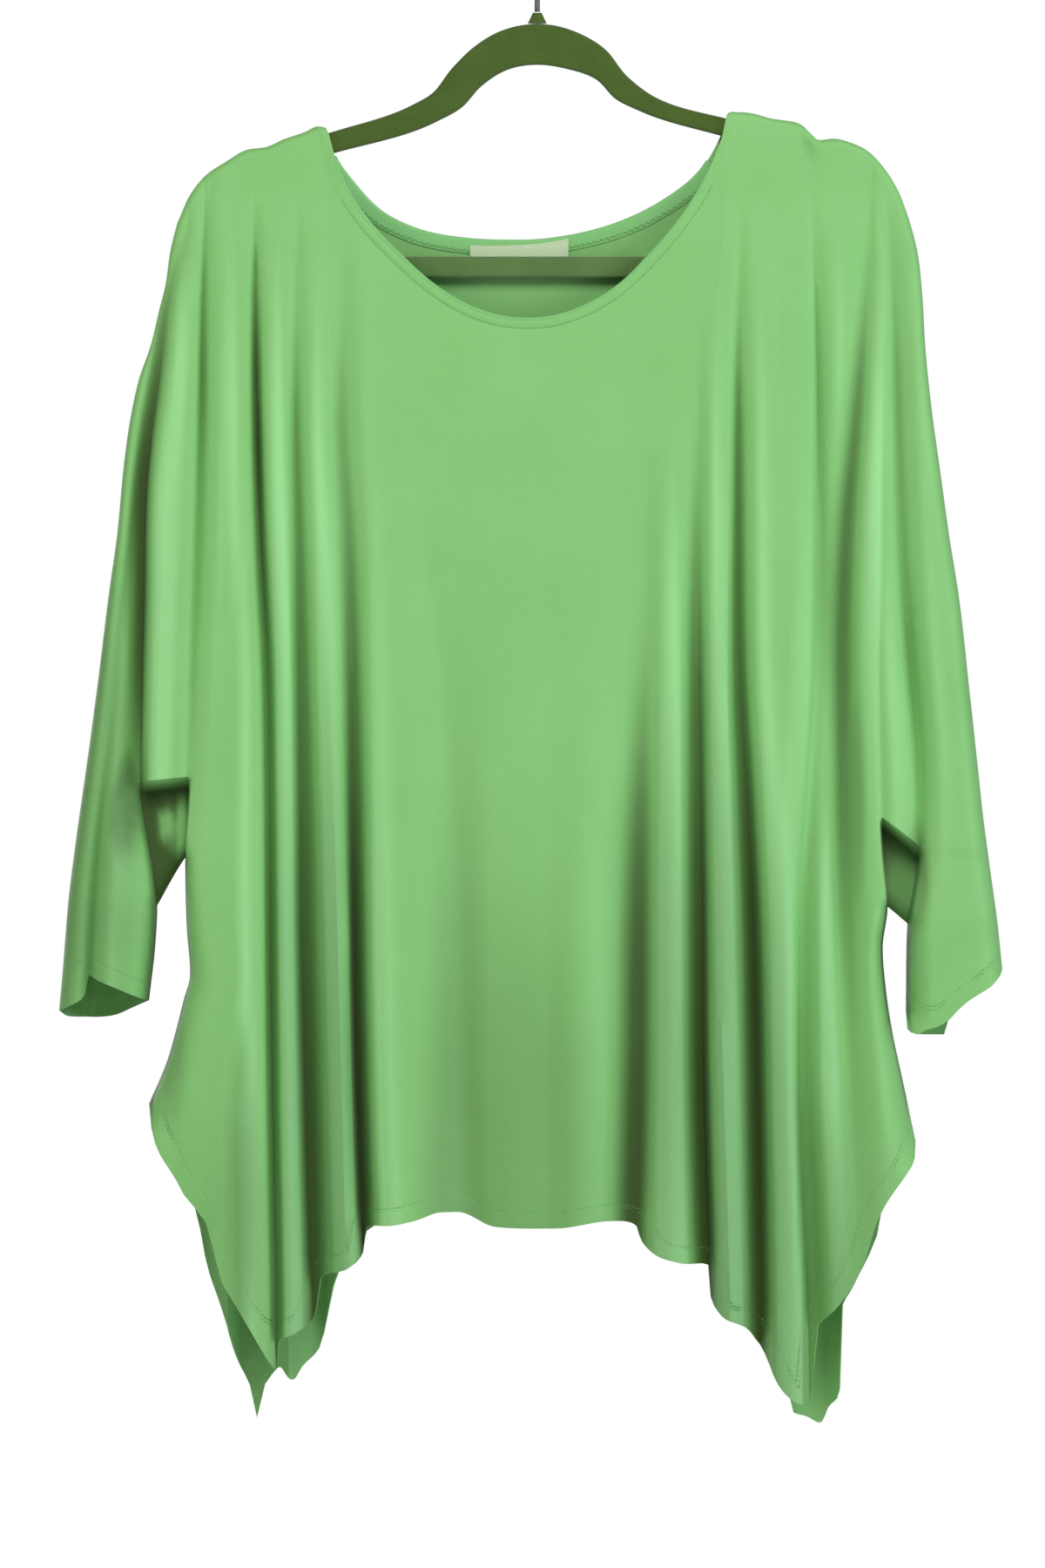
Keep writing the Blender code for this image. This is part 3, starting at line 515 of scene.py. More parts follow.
@dataclass
class Drape:
    """One side of the garment as it hangs: its folds, its edges, and how far it stands out.

    Attributes:
        side: Which half it is.
        lines: Folds, seams and guides, from left to right.
        neck: The neck's free edge.
        hem: The hem's free edge.
        cuffs: The cuffs' free edges.
        swag: Whether the cloth rolls under between sleeve and side.
        seed: Seed of the small unevenness.
        spots: Ovals where more shade is painted, or less, than the folds alone would give.
        names: The lines' names, in their order.
        notches: The pairs of lines between which sleeve and side part.
        rim: The upper edge, along shoulders and neck, as a dense line.
        neck_line: The neck's dense edge.
        hem_line: The hem's dense edge.
        cuff_lines: Both cuffs' dense edges.
        outer: The outline from the neck to the cuff on both sides, where it is sewn.
        slits: The seams round the slit between sleeve and side, left and right.
        waves: The unevenness, as (wide, tall, height, turn, turn).
    """

    side: Side
    lines: tuple[Line, ...]
    neck: Points
    hem: Points
    cuffs: Points
    swag: bool
    seed: int
    spots: tuple[Spot, ...] = ()
    names: list[str] = field(init=False)
    notches: list[tuple[int, int]] = field(init=False)
    rim: Array = field(init=False)
    neck_line: Array = field(init=False)
    hem_line: Array = field(init=False)
    cuff_lines: list[Array] = field(init=False)
    outer: list[Array] = field(init=False)
    slits: list[Array] = field(init=False)
    waves: list[Numbers] = field(default_factory=list)

    def __post_init__(self) -> None:
        """Reads the smooth edges and draws the seeded waves once."""
        self.names = [line.name for line in self.lines]
        self.notches = [
            (self.names.index("underarm_left"), self.names.index("side_left")),
            (self.names.index("side_right"), self.names.index("underarm_right")),
        ]
        self.rim = rounded_path(SHOULDER_LEFT[:-1] + self.neck + SHOULDER_RIGHT[1:])
        self.neck_line = rounded_path(self.neck)
        self.hem_line = rounded_path(self.hem)
        split = next(i for i, p in enumerate(self.cuffs) if p[0] > 0)
        self.cuff_lines = [rounded_path(self.cuffs[:split]), rounded_path(self.cuffs[split:])]
        start, end = self.neck[0][0], self.neck[-1][0]
        self.outer = [
            np.concatenate([self.rim[self.rim[:, 0] <= start][::-3], self.seam_points("overarm_left")]),
            np.concatenate([self.rim[self.rim[:, 0] >= end][::3], self.seam_points("overarm_right")]),
        ]
        self.slits = []
        for left, right in self.notches:
            up = self.seam_points(self.names[left], NOTCH)[::-1]
            self.slits.append(np.concatenate([up, self.seam_points(self.names[right], NOTCH)]))
        rng = np.random.default_rng(self.seed)
        for wide, tall, height in WAVES:
            for _ in range(3):
                turn = rng.uniform(0, 2 * np.pi, 2)
                scale = rng.uniform(0.75, 1.3, 2)
                self.waves.append((wide * scale[0], tall * scale[1], height / 2, *turn))

    def seam_points(self, name: str, starts: dict[str, float] | None = None) -> Array:
        """A seam as the mesh follows it.

        Args:
            name: The seam's name.
            starts: The drop at which each seam begins, or None for its own top.

        Returns:
            A dense line of (across, drop).
        """
        line = self.lines[self.names.index(name)]
        first, last = line.path[0][1], line.path[-1][1]
        drops = np.linspace(starts[name] if starts else first, last, 60)
        return np.stack([line.across(drops), drops], axis=1)

    def x_at(self, u: Array, drop: Array) -> Array:
        """Across at a column, where a whole number is a line and a part lies between two.

        Args:
            u: Column numbers.
            drop: A drop for each column.

        Returns:
            Across for each column.
        """
        u = np.asarray(u, float)
        i = np.clip(np.floor(u).astype(int), 0, len(self.lines) - 2)
        lines = np.array([line.across(drop) for line in self.lines])
        rest = u - i
        pick = np.arange(len(u))
        return lines[i, pick] * (1 - rest) + lines[i + 1, pick] * rest

    def meets(self, u: Array, edge: Array, low: float, high: float) -> Array:
        """The drop at which each column crosses an edge.

        Args:
            u: Column numbers.
            edge: The edge, as (across, drop).
            low: The highest drop searched.
            high: The lowest drop searched.

        Returns:
            A drop for each column.
        """
        xs, drops = np.asarray(edge, float).T
        low, high = np.full(len(u), float(low)), np.full(len(u), float(high))
        for _ in range(36):
            middle = (low + high) / 2
            past = middle >= np.interp(self.x_at(u, middle), xs, drops)
            low, high = np.where(past, low, middle), np.where(past, middle, high)
        return (low + high) / 2

    def between(self, u: Array, marks: dict[str, float]) -> Array:
        """A value given at some of the lines, spread evenly over the columns between them."""
        places = [self.names.index(name) for name in marks]
        return np.interp(u, places, list(marks.values()))

    def is_arm(self, u: Array) -> Array:
        """Whether a column belongs to a sleeve below the underarm."""
        return (u <= self.notches[0][0]) | (u >= self.notches[1][1])

    def end_of(self, u: Array) -> Array:
        """The drop of the free edge below each column."""
        cuff = np.concatenate(self.cuff_lines)
        return np.where(self.is_arm(u), self.meets(u, cuff, 600, 760), self.meets(u, self.hem_line, 640, 960))

    def crown(self, x: Array, drop: Array) -> Array:
        """How far the folds' tops stand out, a little less in the shirt's middle."""
        return by_drop(CROWN, drop) * (1 - MIDDLE_DIP * np.exp(-((x / MIDDLE_HALF) ** 4)))

    def depth(self, x: Array, drop: Array) -> Array:
        """How far the outer face stands out from the middle plane.

        Args:
            x: Across, an array.
            drop: Drops, the same shape.

        Returns:
            Depths in millimetres, the same shape.
        """
        out = np.maximum(self.crown(x, drop) - self.low(x, drop), by_drop(FLOOR, drop))
        out = out + self.uneven(x, drop)
        if self.swag:
            out = out + (np.minimum(out, SWAG_DEPTH) - out) * self.tucked(x, drop)
        return SEAM_HALF + (out - SEAM_HALF) * self.near_seams(x, drop)

    def hollow(self, x: Array, drop: Array) -> Array:
        """How much shade is painted on points, by how far they lie down in the folds, where little light
        comes.

        Args:
            x: Across, an array.
            drop: Drops, the same shape.

        Returns:
            From 0 to 1, the same shape.
        """
        around = np.mean([self.low(x + k * NEARBY, drop) for k in (-2, -1, 1, 2)], axis=0)
        deep = soft_step(self.low(x, drop) / self.crown(x, drop), SHADE_FROM, SHADE_TO)
        deep = np.maximum(deep, NEARBY_SHADE * soft_step(around, NEARBY_FROM, NEARBY_TO))
        if self.swag:
            deep = np.maximum(deep, TUCK_SHADE * self.tucked(x, drop))
        for spot in self.spots:
            deep = spot.shade(deep, x, drop)
        return np.clip(deep, 0, 1)

    def crest(self, x: Array, drop: Array) -> Array:
        """How much highlight is painted on points, by how far they stand out of the cloth on both sides of
        them.

        Args:
            x: Across, an array.
            drop: Drops, the same shape.

        Returns:
            From 0 to 1, the same shape.
        """
        sides = (self.low(x - CREST_REACH, drop) + self.low(x + CREST_REACH, drop)) / 2
        away = soft_step(self.near_seams(x, drop), CREST_CLEAR, 1)
        if self.swag:
            away = away * (1 - self.tucked(x, drop))
        return away * soft_step(sides - self.low(x, drop), CREST_FROM, CREST_HEIGHT)

    def low(self, x: Array, drop: Array) -> Array:
        """How far the folds' valleys together take the cloth back."""
        return sum(line.valley(x, drop) for line in self.lines)

    def uneven(self, x: Array, drop: Array) -> Array:
        """Small slow waves over the whole cloth, none where it lies on the hanger.

        Args:
            x: Across, an array.
            drop: Drops, the same shape.

        Returns:
            Heights in millimetres, the same shape.
        """
        total = np.zeros(np.shape(x))
        for wide, tall, height, a, b in self.waves:
            down = drop / tall
            total += height * np.sin(x / wide + down * 0.6 + a) * np.sin(down * 2 + x / 70 + b)
        return total * by_drop(UNEVEN, drop)

    def tucked(self, x: Array, drop: Array) -> Array:
        """Tells the cloth below the swag, where the front has rolled under, from the rest.

        Args:
            x: Across, an array.
            drop: Drops, the same shape.

        Returns:
            1 between sleeve and side below the swag, else 0, the same shape.
        """
        share = np.zeros(np.shape(x))
        for left, right in self.notches:
            first, last = self.lines[left], self.lines[right]
            a, b = first.across(drop), last.across(drop)
            way = np.clip((x - a) / np.maximum(b - a, 1), 0, 1)
            edge = SWAG[first.name] + way * (SWAG[last.name] - SWAG[first.name])
            under = np.clip((drop - edge) / SWAG_HALF / 2 + 0.5, 0, 1)
            inside = np.clip((x - a) / 2 + 1, 0, 1) * np.clip((b - x) / 2 + 1, 0, 1)
            share = np.maximum(share, under * inside)
        return share

    def near_seams(self, x: Array, drop: Array) -> Array:
        """Tells the cloth that rounds towards a seam from the rest.

        Args:
            x: Across, an array.
            drop: Drops, the same shape.

        Returns:
            From 0 at a seam to 1 away from it, the same shape.
        """
        share = np.ones(np.shape(x))
        paths = [*self.outer, *self.slits]
        for path, radius in zip(paths, (ROUND_LEFT, ROUND_RIGHT, ROUND_SIDE, ROUND_SIDE)):
            part = np.clip(to_path(x, drop, path) / by_drop(radius, drop), 0, 1)
            share = np.minimum(share, np.sqrt(1 - (1 - part) ** 2))
        return share

    def place(self, x: Array, drop: Array, lift: float = 0.0) -> tuple[Array, Array]:
        """Points on the cloth, lifted along its outward normal.

        Args:
            x: Across, an array.
            drop: Drops, the same shape.
            lift: How far off the outer face, in millimetres.

        Returns:
            Positions in millimetres and unit normals, as two arrays with a last axis of 3.
        """
        way = self.side.value
        step = 0.6
        slope_x = (self.depth(x + step, drop) - self.depth(x - step, drop)) / (2 * step)
        slope_d = (self.depth(x, drop + step) - self.depth(x, drop - step)) / (2 * step)
        normal = np.stack([-slope_x, -way * np.ones(np.shape(x)), slope_d], axis=-1)
        normal /= np.linalg.norm(normal, axis=-1, keepdims=True)
        base = np.stack([x, -way * self.depth(x, drop), -drop], axis=-1)
        return base + normal * np.asarray(lift)[..., None], normal

    def inset(
        self, edge: Array, distance: float, us: Array, low: Array, high: Array, rising: bool
    ) -> tuple[Array, Array]:
        """The line that keeps a distance from a free edge.

        Args:
            edge: The dense edge.
            distance: How far off it, in millimetres.
            us: Columns along it.
            low: The highest drop searched, one for each column.
            high: The lowest drop searched, one for each column.
            rising: Whether the distance grows with the drop, as below a neck.

        Returns:
            (across, drop) arrays.
        """
        low, high = np.array(low, float), np.array(high, float)
        for _ in range(24):
            middle = (low + high) / 2
            far = to_path(self.x_at(us, middle), middle, edge) > distance
            upper = far if rising else ~far
            low, high = np.where(upper, low, middle), np.where(upper, middle, high)
        middle = (low + high) / 2
        return self.x_at(us, middle), middle


def columns(drape: Drape, count: int, level: float = 520.0, fine: int = 60) -> Array:
    """Columns crowded where the cloth turns sharply, with every line exactly on one.

    Args:
        drape: The side of the garment.
        count: About how many columns.
        level: The drop at which the gaps between lines are measured.
        fine: How many steps each gap is weighed in.

    Returns:
        Rising column numbers.
    """
    us, weights = [], []
    at = np.array([float(line.across(np.array(level))) for line in drape.lines])
    for i in range(len(at) - 1):
        first, last, gap = drape.lines[i], drape.lines[i + 1], at[i + 1] - at[i]
        s = np.linspace(0, 1, fine, endpoint=False)
        near_first = np.exp(-((s * gap / (2.2 * first.right[1])) ** 2)) * first.turns
        near_last = np.exp(-(((1 - s) * gap / (2.2 * last.left[1])) ** 2)) * last.turns
        us += list(i + s)
        weights += list(gap / fine * (0.5 + 1.5 * (near_first + near_last)))
    run = np.concatenate([[0], np.cumsum(weights)])
    us = np.array(us + [len(at) - 1.0])
    picked = np.interp(np.linspace(0, run[-1], count), run, us)
    for whole in range(len(at)):
        picked[np.argmin(np.abs(picked - whole))] = whole
    return np.unique(picked)


@dataclass
class Shell:
    """A sheet of points in rows and columns, thickened into a closed mesh.

    Attributes:
        points: Rows by columns by 3, in millimetres.
        inner: The points of its inner side, the same shape.
        used: Which cells between four points are cloth.
        flip: Whether the cells' winding has to be turned round.
        hollow: How much shade is painted on each point's outer side, from 0 to 1.
        crest: How much highlight is painted on it, by how far it stands out, from 0 to 1.
    """

    points: np.ndarray
    inner: np.ndarray
    used: np.ndarray
    flip: bool
    hollow: np.ndarray
    crest: np.ndarray

    def mesh(self, name: str, collection: Collection) -> Piece:
        """Makes the object, with a UV map in metres of cloth.

        Args:
            name: The piece's name.
            collection: Where it goes.

        Returns:
            The new object.
        """
        rows, cols = self.used.shape[0] + 1, self.used.shape[1] + 1
        index = np.arange(rows * cols).reshape(rows, cols)
        corners = index[:-1, :-1], index[1:, :-1], index[1:, 1:], index[:-1, 1:]
        cells = np.stack(corners, axis=-1)[self.used]
        if self.flip:
            cells = cells[:, ::-1]
        edges = np.concatenate([cells[:, [k, (k + 1) % 4]] for k in range(4)])
        twins = {tuple(e) for e in edges.tolist()}
        rim = np.array([(b, a) for a, b in edges.tolist() if (b, a) not in twins])
        count = rows * cols
        faces = np.concatenate([
            cells, cells[:, ::-1] + count,
            np.stack([rim[:, 0], rim[:, 1], rim[:, 1] + count, rim[:, 0] + count], axis=-1),
        ])
        kept, faces = np.unique(faces, return_inverse=True)
        faces = faces.reshape(-1, 4)
        vertices = np.concatenate([self.points.reshape(-1, 3), self.inner.reshape(-1, 3)])[kept] * MM
        mesh = bpy.data.meshes.new(name)
        mesh.from_pydata(vertices.tolist(), [], faces.tolist())
        layer = mesh.uv_layers.new(name="knit")
        uv = np.tile(self.cloth_places().reshape(-1, 2), (2, 1))[kept]
        loops = np.empty(len(mesh.loops), np.int32)
        mesh.loops.foreach_get("vertex_index", loops)
        layer.data.foreach_set("uv", uv[loops].astype(np.float32).ravel())
        # Amounts of painted shade and painted highlight for each point; the inner side gets an even painted
        # shade
        for key, outer, inside in (("hollow", self.hollow, INSIDE_PAINTED_SHADE), ("crest", self.crest, 0.0)):
            both = np.concatenate([outer.ravel(), np.full(count, inside)])[kept]
            mesh.attributes.new(key, "FLOAT", "POINT").data.foreach_set("value", both.astype(np.float32))
        mesh.update()
        piece = bpy.data.objects.new(name, mesh)
        collection.objects.link(piece)
        deselect()
        piece.select_set(True)
        bpy.context.view_layer.objects.active = piece
        bpy.ops.object.shade_smooth_by_angle(angle=1.0)
        return piece

    def cloth_places(self) -> Array:
        """Measures the cloth along its folds.

        Returns:
            Each point's place on the flat cloth, in metres.
        """
        steps = np.linalg.norm(np.diff(self.points, axis=1), axis=-1)
        run = np.concatenate([np.zeros((len(steps), 1)), np.cumsum(steps, axis=1)], axis=1)
        run -= run[:, [run.shape[1] // 2]]
        return np.stack([run, -self.points[..., 2]], axis=-1) * MM


def deselect() -> None:
    """Clears the selection, so that operators reach only what is picked next."""
    for picked in list(bpy.context.selected_objects):
        picked.select_set(False)


@dataclass
class Cloth:
    """One panel of the shirt as a thin shell with its turned hems.

    Attributes:
        drape: The form it hangs in.
        count: About how many columns its mesh has.
        top_near: Rows below the rim, in millimetres.
        upper_rows: How many rows follow down to the swag.
        swag_rows: Rows at the swag, in parts of its half height.
        tuck_rows: Rows from the swag to the notches, as shares of the way.
        lower_rows: How many rows follow down to the hem.
        end_near: Rows above the free edge, in millimetres.
        hem_rise: How much the hem's second layer adds.
        hem_groove: How deep the hem's stitches pull in.
        pucker: How high the cloth puckers beside them.
        neck_rise: How much the neck's facing adds.
        neck_groove: How deep the neck's stitches pull in.
        arm_from: The drop below which a cuff can be near.
        arm_inner: Across, where the sleeves' inner sides are.
        body_only: The drop above which no hem is near a sleeve, and what keeps it away.
    """

    drape: Drape
    count: int = 300
    top_near: Numbers = (0, 0.4, 0.9, 1.6, 2.6, 3.8, 5.2, 6.2, 7.4, 9.5, 13)
    upper_rows: int = 60
    swag_rows: Numbers = (-0.5, 0, 0.5, 1)
    tuck_rows: Numbers = (0.15, 0.3, 0.45, 0.6, 0.75, 0.88, 1)
    lower_rows: int = 55
    end_near: Numbers = (22, 17, 14, 12, 10.8, 10, 9.2, 7.5, 5, 2.6, 1.1, 0.4, 0)
    hem_rise: float = 0.25
    hem_groove: float = 0.22
    pucker: float = 0.12
    neck_rise: float = 0.5
    neck_groove: float = 0.42
    arm_from: float = 560.0
    arm_inner: Pair = (-220.0, 219.0)
    body_only: Pair = (700.0, 40.0)

    def rows(self, us: Array) -> tuple[Array, int]:
        """Lays the mesh's rows from the rim to the free edge, closer where the cloth turns.

        Args:
            us: The columns.

        Returns:
            Drops as rows by columns, and which row lies at the notches.
        """
        drape = self.drape
        top = drape.meets(us, drape.rim, 100, 400)
        swag, notch, end = drape.between(us, SWAG), drape.between(us, NOTCH), drape.end_of(us)
        last, low_end = self.top_near[-1], end - self.end_near[0]
        upper, start = swag - SWAG_HALF, swag + SWAG_HALF
        drops = [top + near for near in self.top_near]
        shares = np.linspace(0, 1, self.upper_rows + 1)[1:]
        drops += [top + last + f * (upper - top - last) for f in shares]
        drops += [swag + SWAG_HALF * k for k in self.swag_rows]
        drops += [start + f * (notch - start) for f in self.tuck_rows]
        notch_row = len(drops) - 1
        drops += [notch + f * (low_end - notch) for f in np.linspace(0, 1, self.lower_rows + 1)[1:]]
        drops += [end - near for near in self.end_near[1:]]
        return np.array(drops), notch_row

    def build(self, name: str, collection: Collection, finish: Material) -> Piece:
        """Makes the panel.

        Args:
            name: The piece's name.
            collection: Where it goes.
            finish: Its material.

        Returns:
            The new object.
        """
        drape = self.drape
        us = columns(drape, self.count)
        drops, notch_row = self.rows(us)
        xs = np.array([drape.x_at(us, row) for row in drops])
        used = np.ones((len(drops) - 1, len(us) - 1), bool)
        points, normals = drape.place(xs, drops)
        seam, into = np.zeros(xs.shape, bool), -normals

        def sew(rows: slice | int, cols: Array | slice | int, towards: Array) -> None:
            """Joins these points to the other panel, and turns their thickness towards the cloth."""
            seam[rows, cols] = True
            into[rows, cols] = towards

        sew(slice(None), 0, points[:, 2] - points[:, 0])
        sew(slice(None), -1, points[:, -3] - points[:, -1])
        shoulder = (xs[0] <= drape.neck[0][0] + 0.01) | (xs[0] >= drape.neck[-1][0] - 0.01)
        sew(0, shoulder, (points[4] - points[0])[shoulder])
        for left, right in drape.notches:
            first, final = int(np.searchsorted(us, left)), int(np.searchsorted(us, right))
            used[notch_row:, first:final] = False
            gap, under = slice(first, final + 1), slice(notch_row, None)
            sew(under, first, points[under, first - 2] - points[under, first])
            sew(under, final, points[under, final + 2] - points[under, final])
            sew(notch_row, gap, points[notch_row - 2, gap] - points[notch_row, gap])
        points[seam, 1] = -drape.side.value * SEAM_HALF
        into[seam, 1] = 0
        into /= np.linalg.norm(into, axis=-1, keepdims=True)
        lift = self.relief(xs, drops)
        lift[seam] = 0
        points += normals * lift[..., None]
        inner = points + into * JERSEY
        shades = drape.hollow(xs, drops), drape.crest(xs, drops)
        shell = Shell(points, inner, used, drape.side is Side.BACK, *shades)
        piece = shell.mesh(name, collection)
        piece.data.materials.append(finish)
        return piece

    def relief(self, x: Array, drop: Array) -> Array:
        """The turned edges' extra layer, their stitch grooves and the puckers beside them.

        Args:
            x: Across, an array.
            drop: Drops, the same shape.

        Returns:
            Heights over the plain cloth in millimetres, the same shape.
        """
        hem = to_path(x, drop, self.drape.hem_line[::3])
        cuff = np.minimum(*[to_path(x, drop, line[::3]) for line in self.drape.cuff_lines])
        arm = (drop > self.arm_from) & ((x < self.arm_inner[0]) | (x > self.arm_inner[1]))
        kept_off = self.body_only[1] * (drop < self.body_only[0])
        edge = np.where(arm, np.minimum(hem + kept_off, cuff), hem)
        neck = to_path(x, drop, self.drape.neck_line[::3])
        raised = self.hem_rise * (1 - soft_step(edge, HEM_TURN - 0.4, HEM_TURN + 1.6))
        groove = self.hem_groove * np.exp(-(((edge - HEM_TURN) / 0.9) ** 2))
        ripples = self.pucker * np.sin(x / 1.7 + 2 * np.sin(x / 11))
        pucker = ripples * np.exp(-(((edge - HEM_TURN) / 4.5) ** 2))
        band = self.neck_rise * (1 - soft_step(neck, NECK_STITCH - 1.5, NECK_STITCH + 2.5))
        seam = self.neck_groove * np.exp(-(((neck - NECK_STITCH) / 1.5) ** 2))
        return raised - groove + pucker + band - seam


@dataclass
class NeckBand:
    """The narrow facing turned over the neck's edge to the inside.

    Attributes:
        drape: The panel that it is sewn to.
        roll: Radii of the turned edge, outside and inside.
        centre: The roll's middle, as (distance below the edge, lift off the outer face).
        flat: Distances below the edge at which its flat part has points.
        count: How many sections it has along the neck.
        blur: Over how many sections its direction is evened out, an odd number.
    """

    drape: Drape
    roll: Pair = (1.2, 0.6)
    centre: Pair = (0.35, -0.4)
    flat: Numbers = (2.5, 4.5, 6.2, 7.0, 8.0)
    count: int = 240
    blur: int = 9

    def build(self, name: str, collection: Collection, finish: Material) -> Piece:
        """Makes the band as one closed strip.

        Args:
            name: The piece's name.
            collection: Where it goes.
            finish: Its material.

        Returns:
            The new object.
        """
        drape = self.drape
        line = drape.neck_line
        run = np.concatenate([[0], np.cumsum(np.hypot(*np.diff(line, axis=0).T))])
        clear = drape.neck[0][0] + NECK_CLEAR[0], drape.neck[-1][0] - NECK_CLEAR[1]
        at = np.linspace(*np.interp(clear, line[:, 0], run), self.count)
        x, drop = np.interp(at, run, line[:, 0]), np.interp(at, run, line[:, 1])
        along = np.array([evened(np.gradient(x), self.blur), evened(np.gradient(drop), self.blur)])
        along /= np.hypot(*along)
        rows = []
        for s, n in self.section():
            px, pd = x - s * along[1], drop + s * along[0]
            inside = np.maximum(s, 0.25)
            bx, bd = x - inside * along[1], drop + inside * along[0]
            base, normal = drape.place(bx, bd)
            rows.append(np.stack([px, base[:, 1], -pd], axis=-1) + normal * n)
        return closed_strip(name, np.array(rows), drape.side is Side.BACK, collection, finish)

    def section(self) -> list[Pair]:
        """Draws the strip's cross-section.

        Returns:
            Points as (distance below the edge, lift off the outer face).
        """
        s0, n0 = self.centre
        outer, inner = self.roll
        turn = np.radians(np.linspace(-38, 180, 10))
        over = [(s0 - outer * np.sin(a), n0 + outer * np.cos(a)) for a in turn]
        under = [(s0 - inner * np.sin(a), n0 + inner * np.cos(a)) for a in turn]
        far = [(s, n0 - outer) for s in self.flat]
        near = [(s, n0 - inner) for s in self.flat]
        tip = [(FACING_WIDTH + 0.15, n0 - outer + 0.1), (FACING_WIDTH + 0.15, n0 - inner - 0.1)]
        return over + far + tip + near[::-1] + under[::-1]


def closed_strip(
    name: str, rows: Array, flip: bool, collection: Collection, finish: Material
) -> Piece:
    """Joins the rows of a closed cross-section along their length, and closes both ends.

    Args:
        name: The piece's name.
        rows: Section points by length by 3, in millimetres.
        flip: Whether the winding has to be turned round.
        collection: Where it goes.
        finish: Its material.

    Returns:
        The new object.
    """
    around, length = rows.shape[:2]
    index = np.arange(around * length).reshape(around, length)
    turned = np.roll(index, -1, axis=0)
    faces = np.stack([index[:, :-1], turned[:, :-1], turned[:, 1:], index[:, 1:]], axis=-1).reshape(-1, 4)
    caps = [index[::-1, 0].tolist(), index[:, -1].tolist()]
    faces = faces.tolist() + caps
    if flip:
        faces = [f[::-1] for f in faces]
    mesh = bpy.data.meshes.new(name)
    mesh.from_pydata((rows.reshape(-1, 3) * MM).tolist(), [], faces)
    layer = mesh.uv_layers.new(name="knit")
    steps = np.linalg.norm(np.diff(rows, axis=1), axis=-1)
    run = np.concatenate([np.zeros((around, 1)), np.cumsum(steps, axis=1)], axis=1)
    ring = np.concatenate([[0], np.cumsum(np.linalg.norm(np.diff(rows[:, 0], axis=0), axis=-1))])
    uv = np.stack([run, np.repeat(ring[:, None], length, axis=1)], axis=-1).reshape(-1, 2) * MM
    loops = np.empty(len(mesh.loops), np.int32)
    mesh.loops.foreach_get("vertex_index", loops)
    layer.data.foreach_set("uv", uv[loops].astype(np.float32).ravel())
    mesh.update()
    mesh.materials.append(finish)
    piece = bpy.data.objects.new(name, mesh)
    collection.objects.link(piece)
    deselect()
    piece.select_set(True)
    bpy.context.view_layer.objects.active = piece
    bpy.ops.object.mode_set(mode="EDIT")
    bpy.ops.mesh.select_all(action="SELECT")
    bpy.ops.mesh.normals_make_consistent(inside=False)
    bpy.ops.object.mode_set(mode="OBJECT")
    bpy.ops.object.shade_smooth_by_angle(angle=1.0)
    return piece


@dataclass
class StitchRow:
    """Short threads that follow a line on the cloth.

    Attributes:
        kind: How many rows run side by side.
        pitch: From one stitch to the next, in millimetres.
        length: Of one stitch.
        radius: Of its thread.
        lift: How high its middle lies over the cloth's outer face.
        blur: Over how many points the line is evened out, an odd number.
    """

    kind: Stitch = Stitch.SINGLE
    pitch: float = 3.0
    length: float = 2.2
    radius: float = 0.28
    lift: float = 0.02
    blur: int = 13

    def along(self, x: Array, drop: Array, drape: Drape) -> Threads:
        """Stitches along a line of (across, drop) on a drape.

        Args:
            x: Across, an array.
            drop: Drops, the same length.
            drape: The cloth that carries them.

        Returns:
            Middles, directions and normals, three arrays in millimetres.
        """
        line, normal = drape.place(evened(x, self.blur), evened(drop, self.blur), self.lift)
        run = np.concatenate([[0], np.cumsum(np.linalg.norm(np.diff(line, axis=0), axis=1))])
        at = np.arange(self.pitch, run[-1] - self.pitch, self.pitch)
        middle = np.stack([np.interp(at, run, line[:, k]) for k in range(3)], axis=1)
        ahead = np.stack([np.interp(at + 0.5, run, line[:, k]) for k in range(3)], axis=1)
        back = np.stack([np.interp(at - 0.5, run, line[:, k]) for k in range(3)], axis=1)
        way = ahead - back
        way /= np.linalg.norm(way, axis=1)[:, None]
        up = np.stack([np.interp(at, run, normal[:, k]) for k in range(3)], axis=1)
        return middle, way, up


def thread_pieces(
    name: str, groups: list[Threads], radius: float, length: float, collection: Collection,
    finish: Material,
) -> Piece:
    """Merges one small rounded thread for each stitch into one piece.

    Args:
        name: The piece's name.
        groups: (middles, directions, normals) for each row.
        radius: Thread radius in millimetres.
        length: Stitch length in millimetres.
        collection: Where it goes.
        finish: Its material.

    Returns:
        The new object.
    """
    deselect()
    bpy.ops.mesh.primitive_uv_sphere_add(segments=6, ring_count=4, radius=1)
    piece = bpy.context.object
    piece.name = piece.data.name = name
    ball = np.array([v.co[:] for v in piece.data.vertices])
    faces = [list(p.vertices) for p in piece.data.polygons]
    middle, way, up = (np.concatenate([g[k] for g in groups]) for k in range(3))
    across = np.cross(way, up)
    across /= np.linalg.norm(across, axis=1)[:, None]
    up = np.cross(across, way)
    stretch = np.sign(ball[:, 2]) * (length / 2 - radius) + ball[:, 2] * radius
    points = (
        middle[:, None] + way[:, None] * stretch[None, :, None]
        + (across[:, None] * ball[None, :, 0, None] + up[:, None] * ball[None, :, 1, None]) * radius
    )
    count = len(ball)
    mesh = piece.data
    mesh.clear_geometry()
    mesh.from_pydata(
        (points.reshape(-1, 3) * MM).tolist(), [],
        [[i + k * count for i in f] for k in range(len(points)) for f in faces],
    )
    mesh.materials.clear()
    mesh.materials.append(finish)
    mesh.update()
    for holder in list(piece.users_collection):
        holder.objects.unlink(piece)
    collection.objects.link(piece)
    piece.select_set(True)
    bpy.context.view_layer.objects.active = piece
    bpy.ops.object.shade_smooth()
    return piece


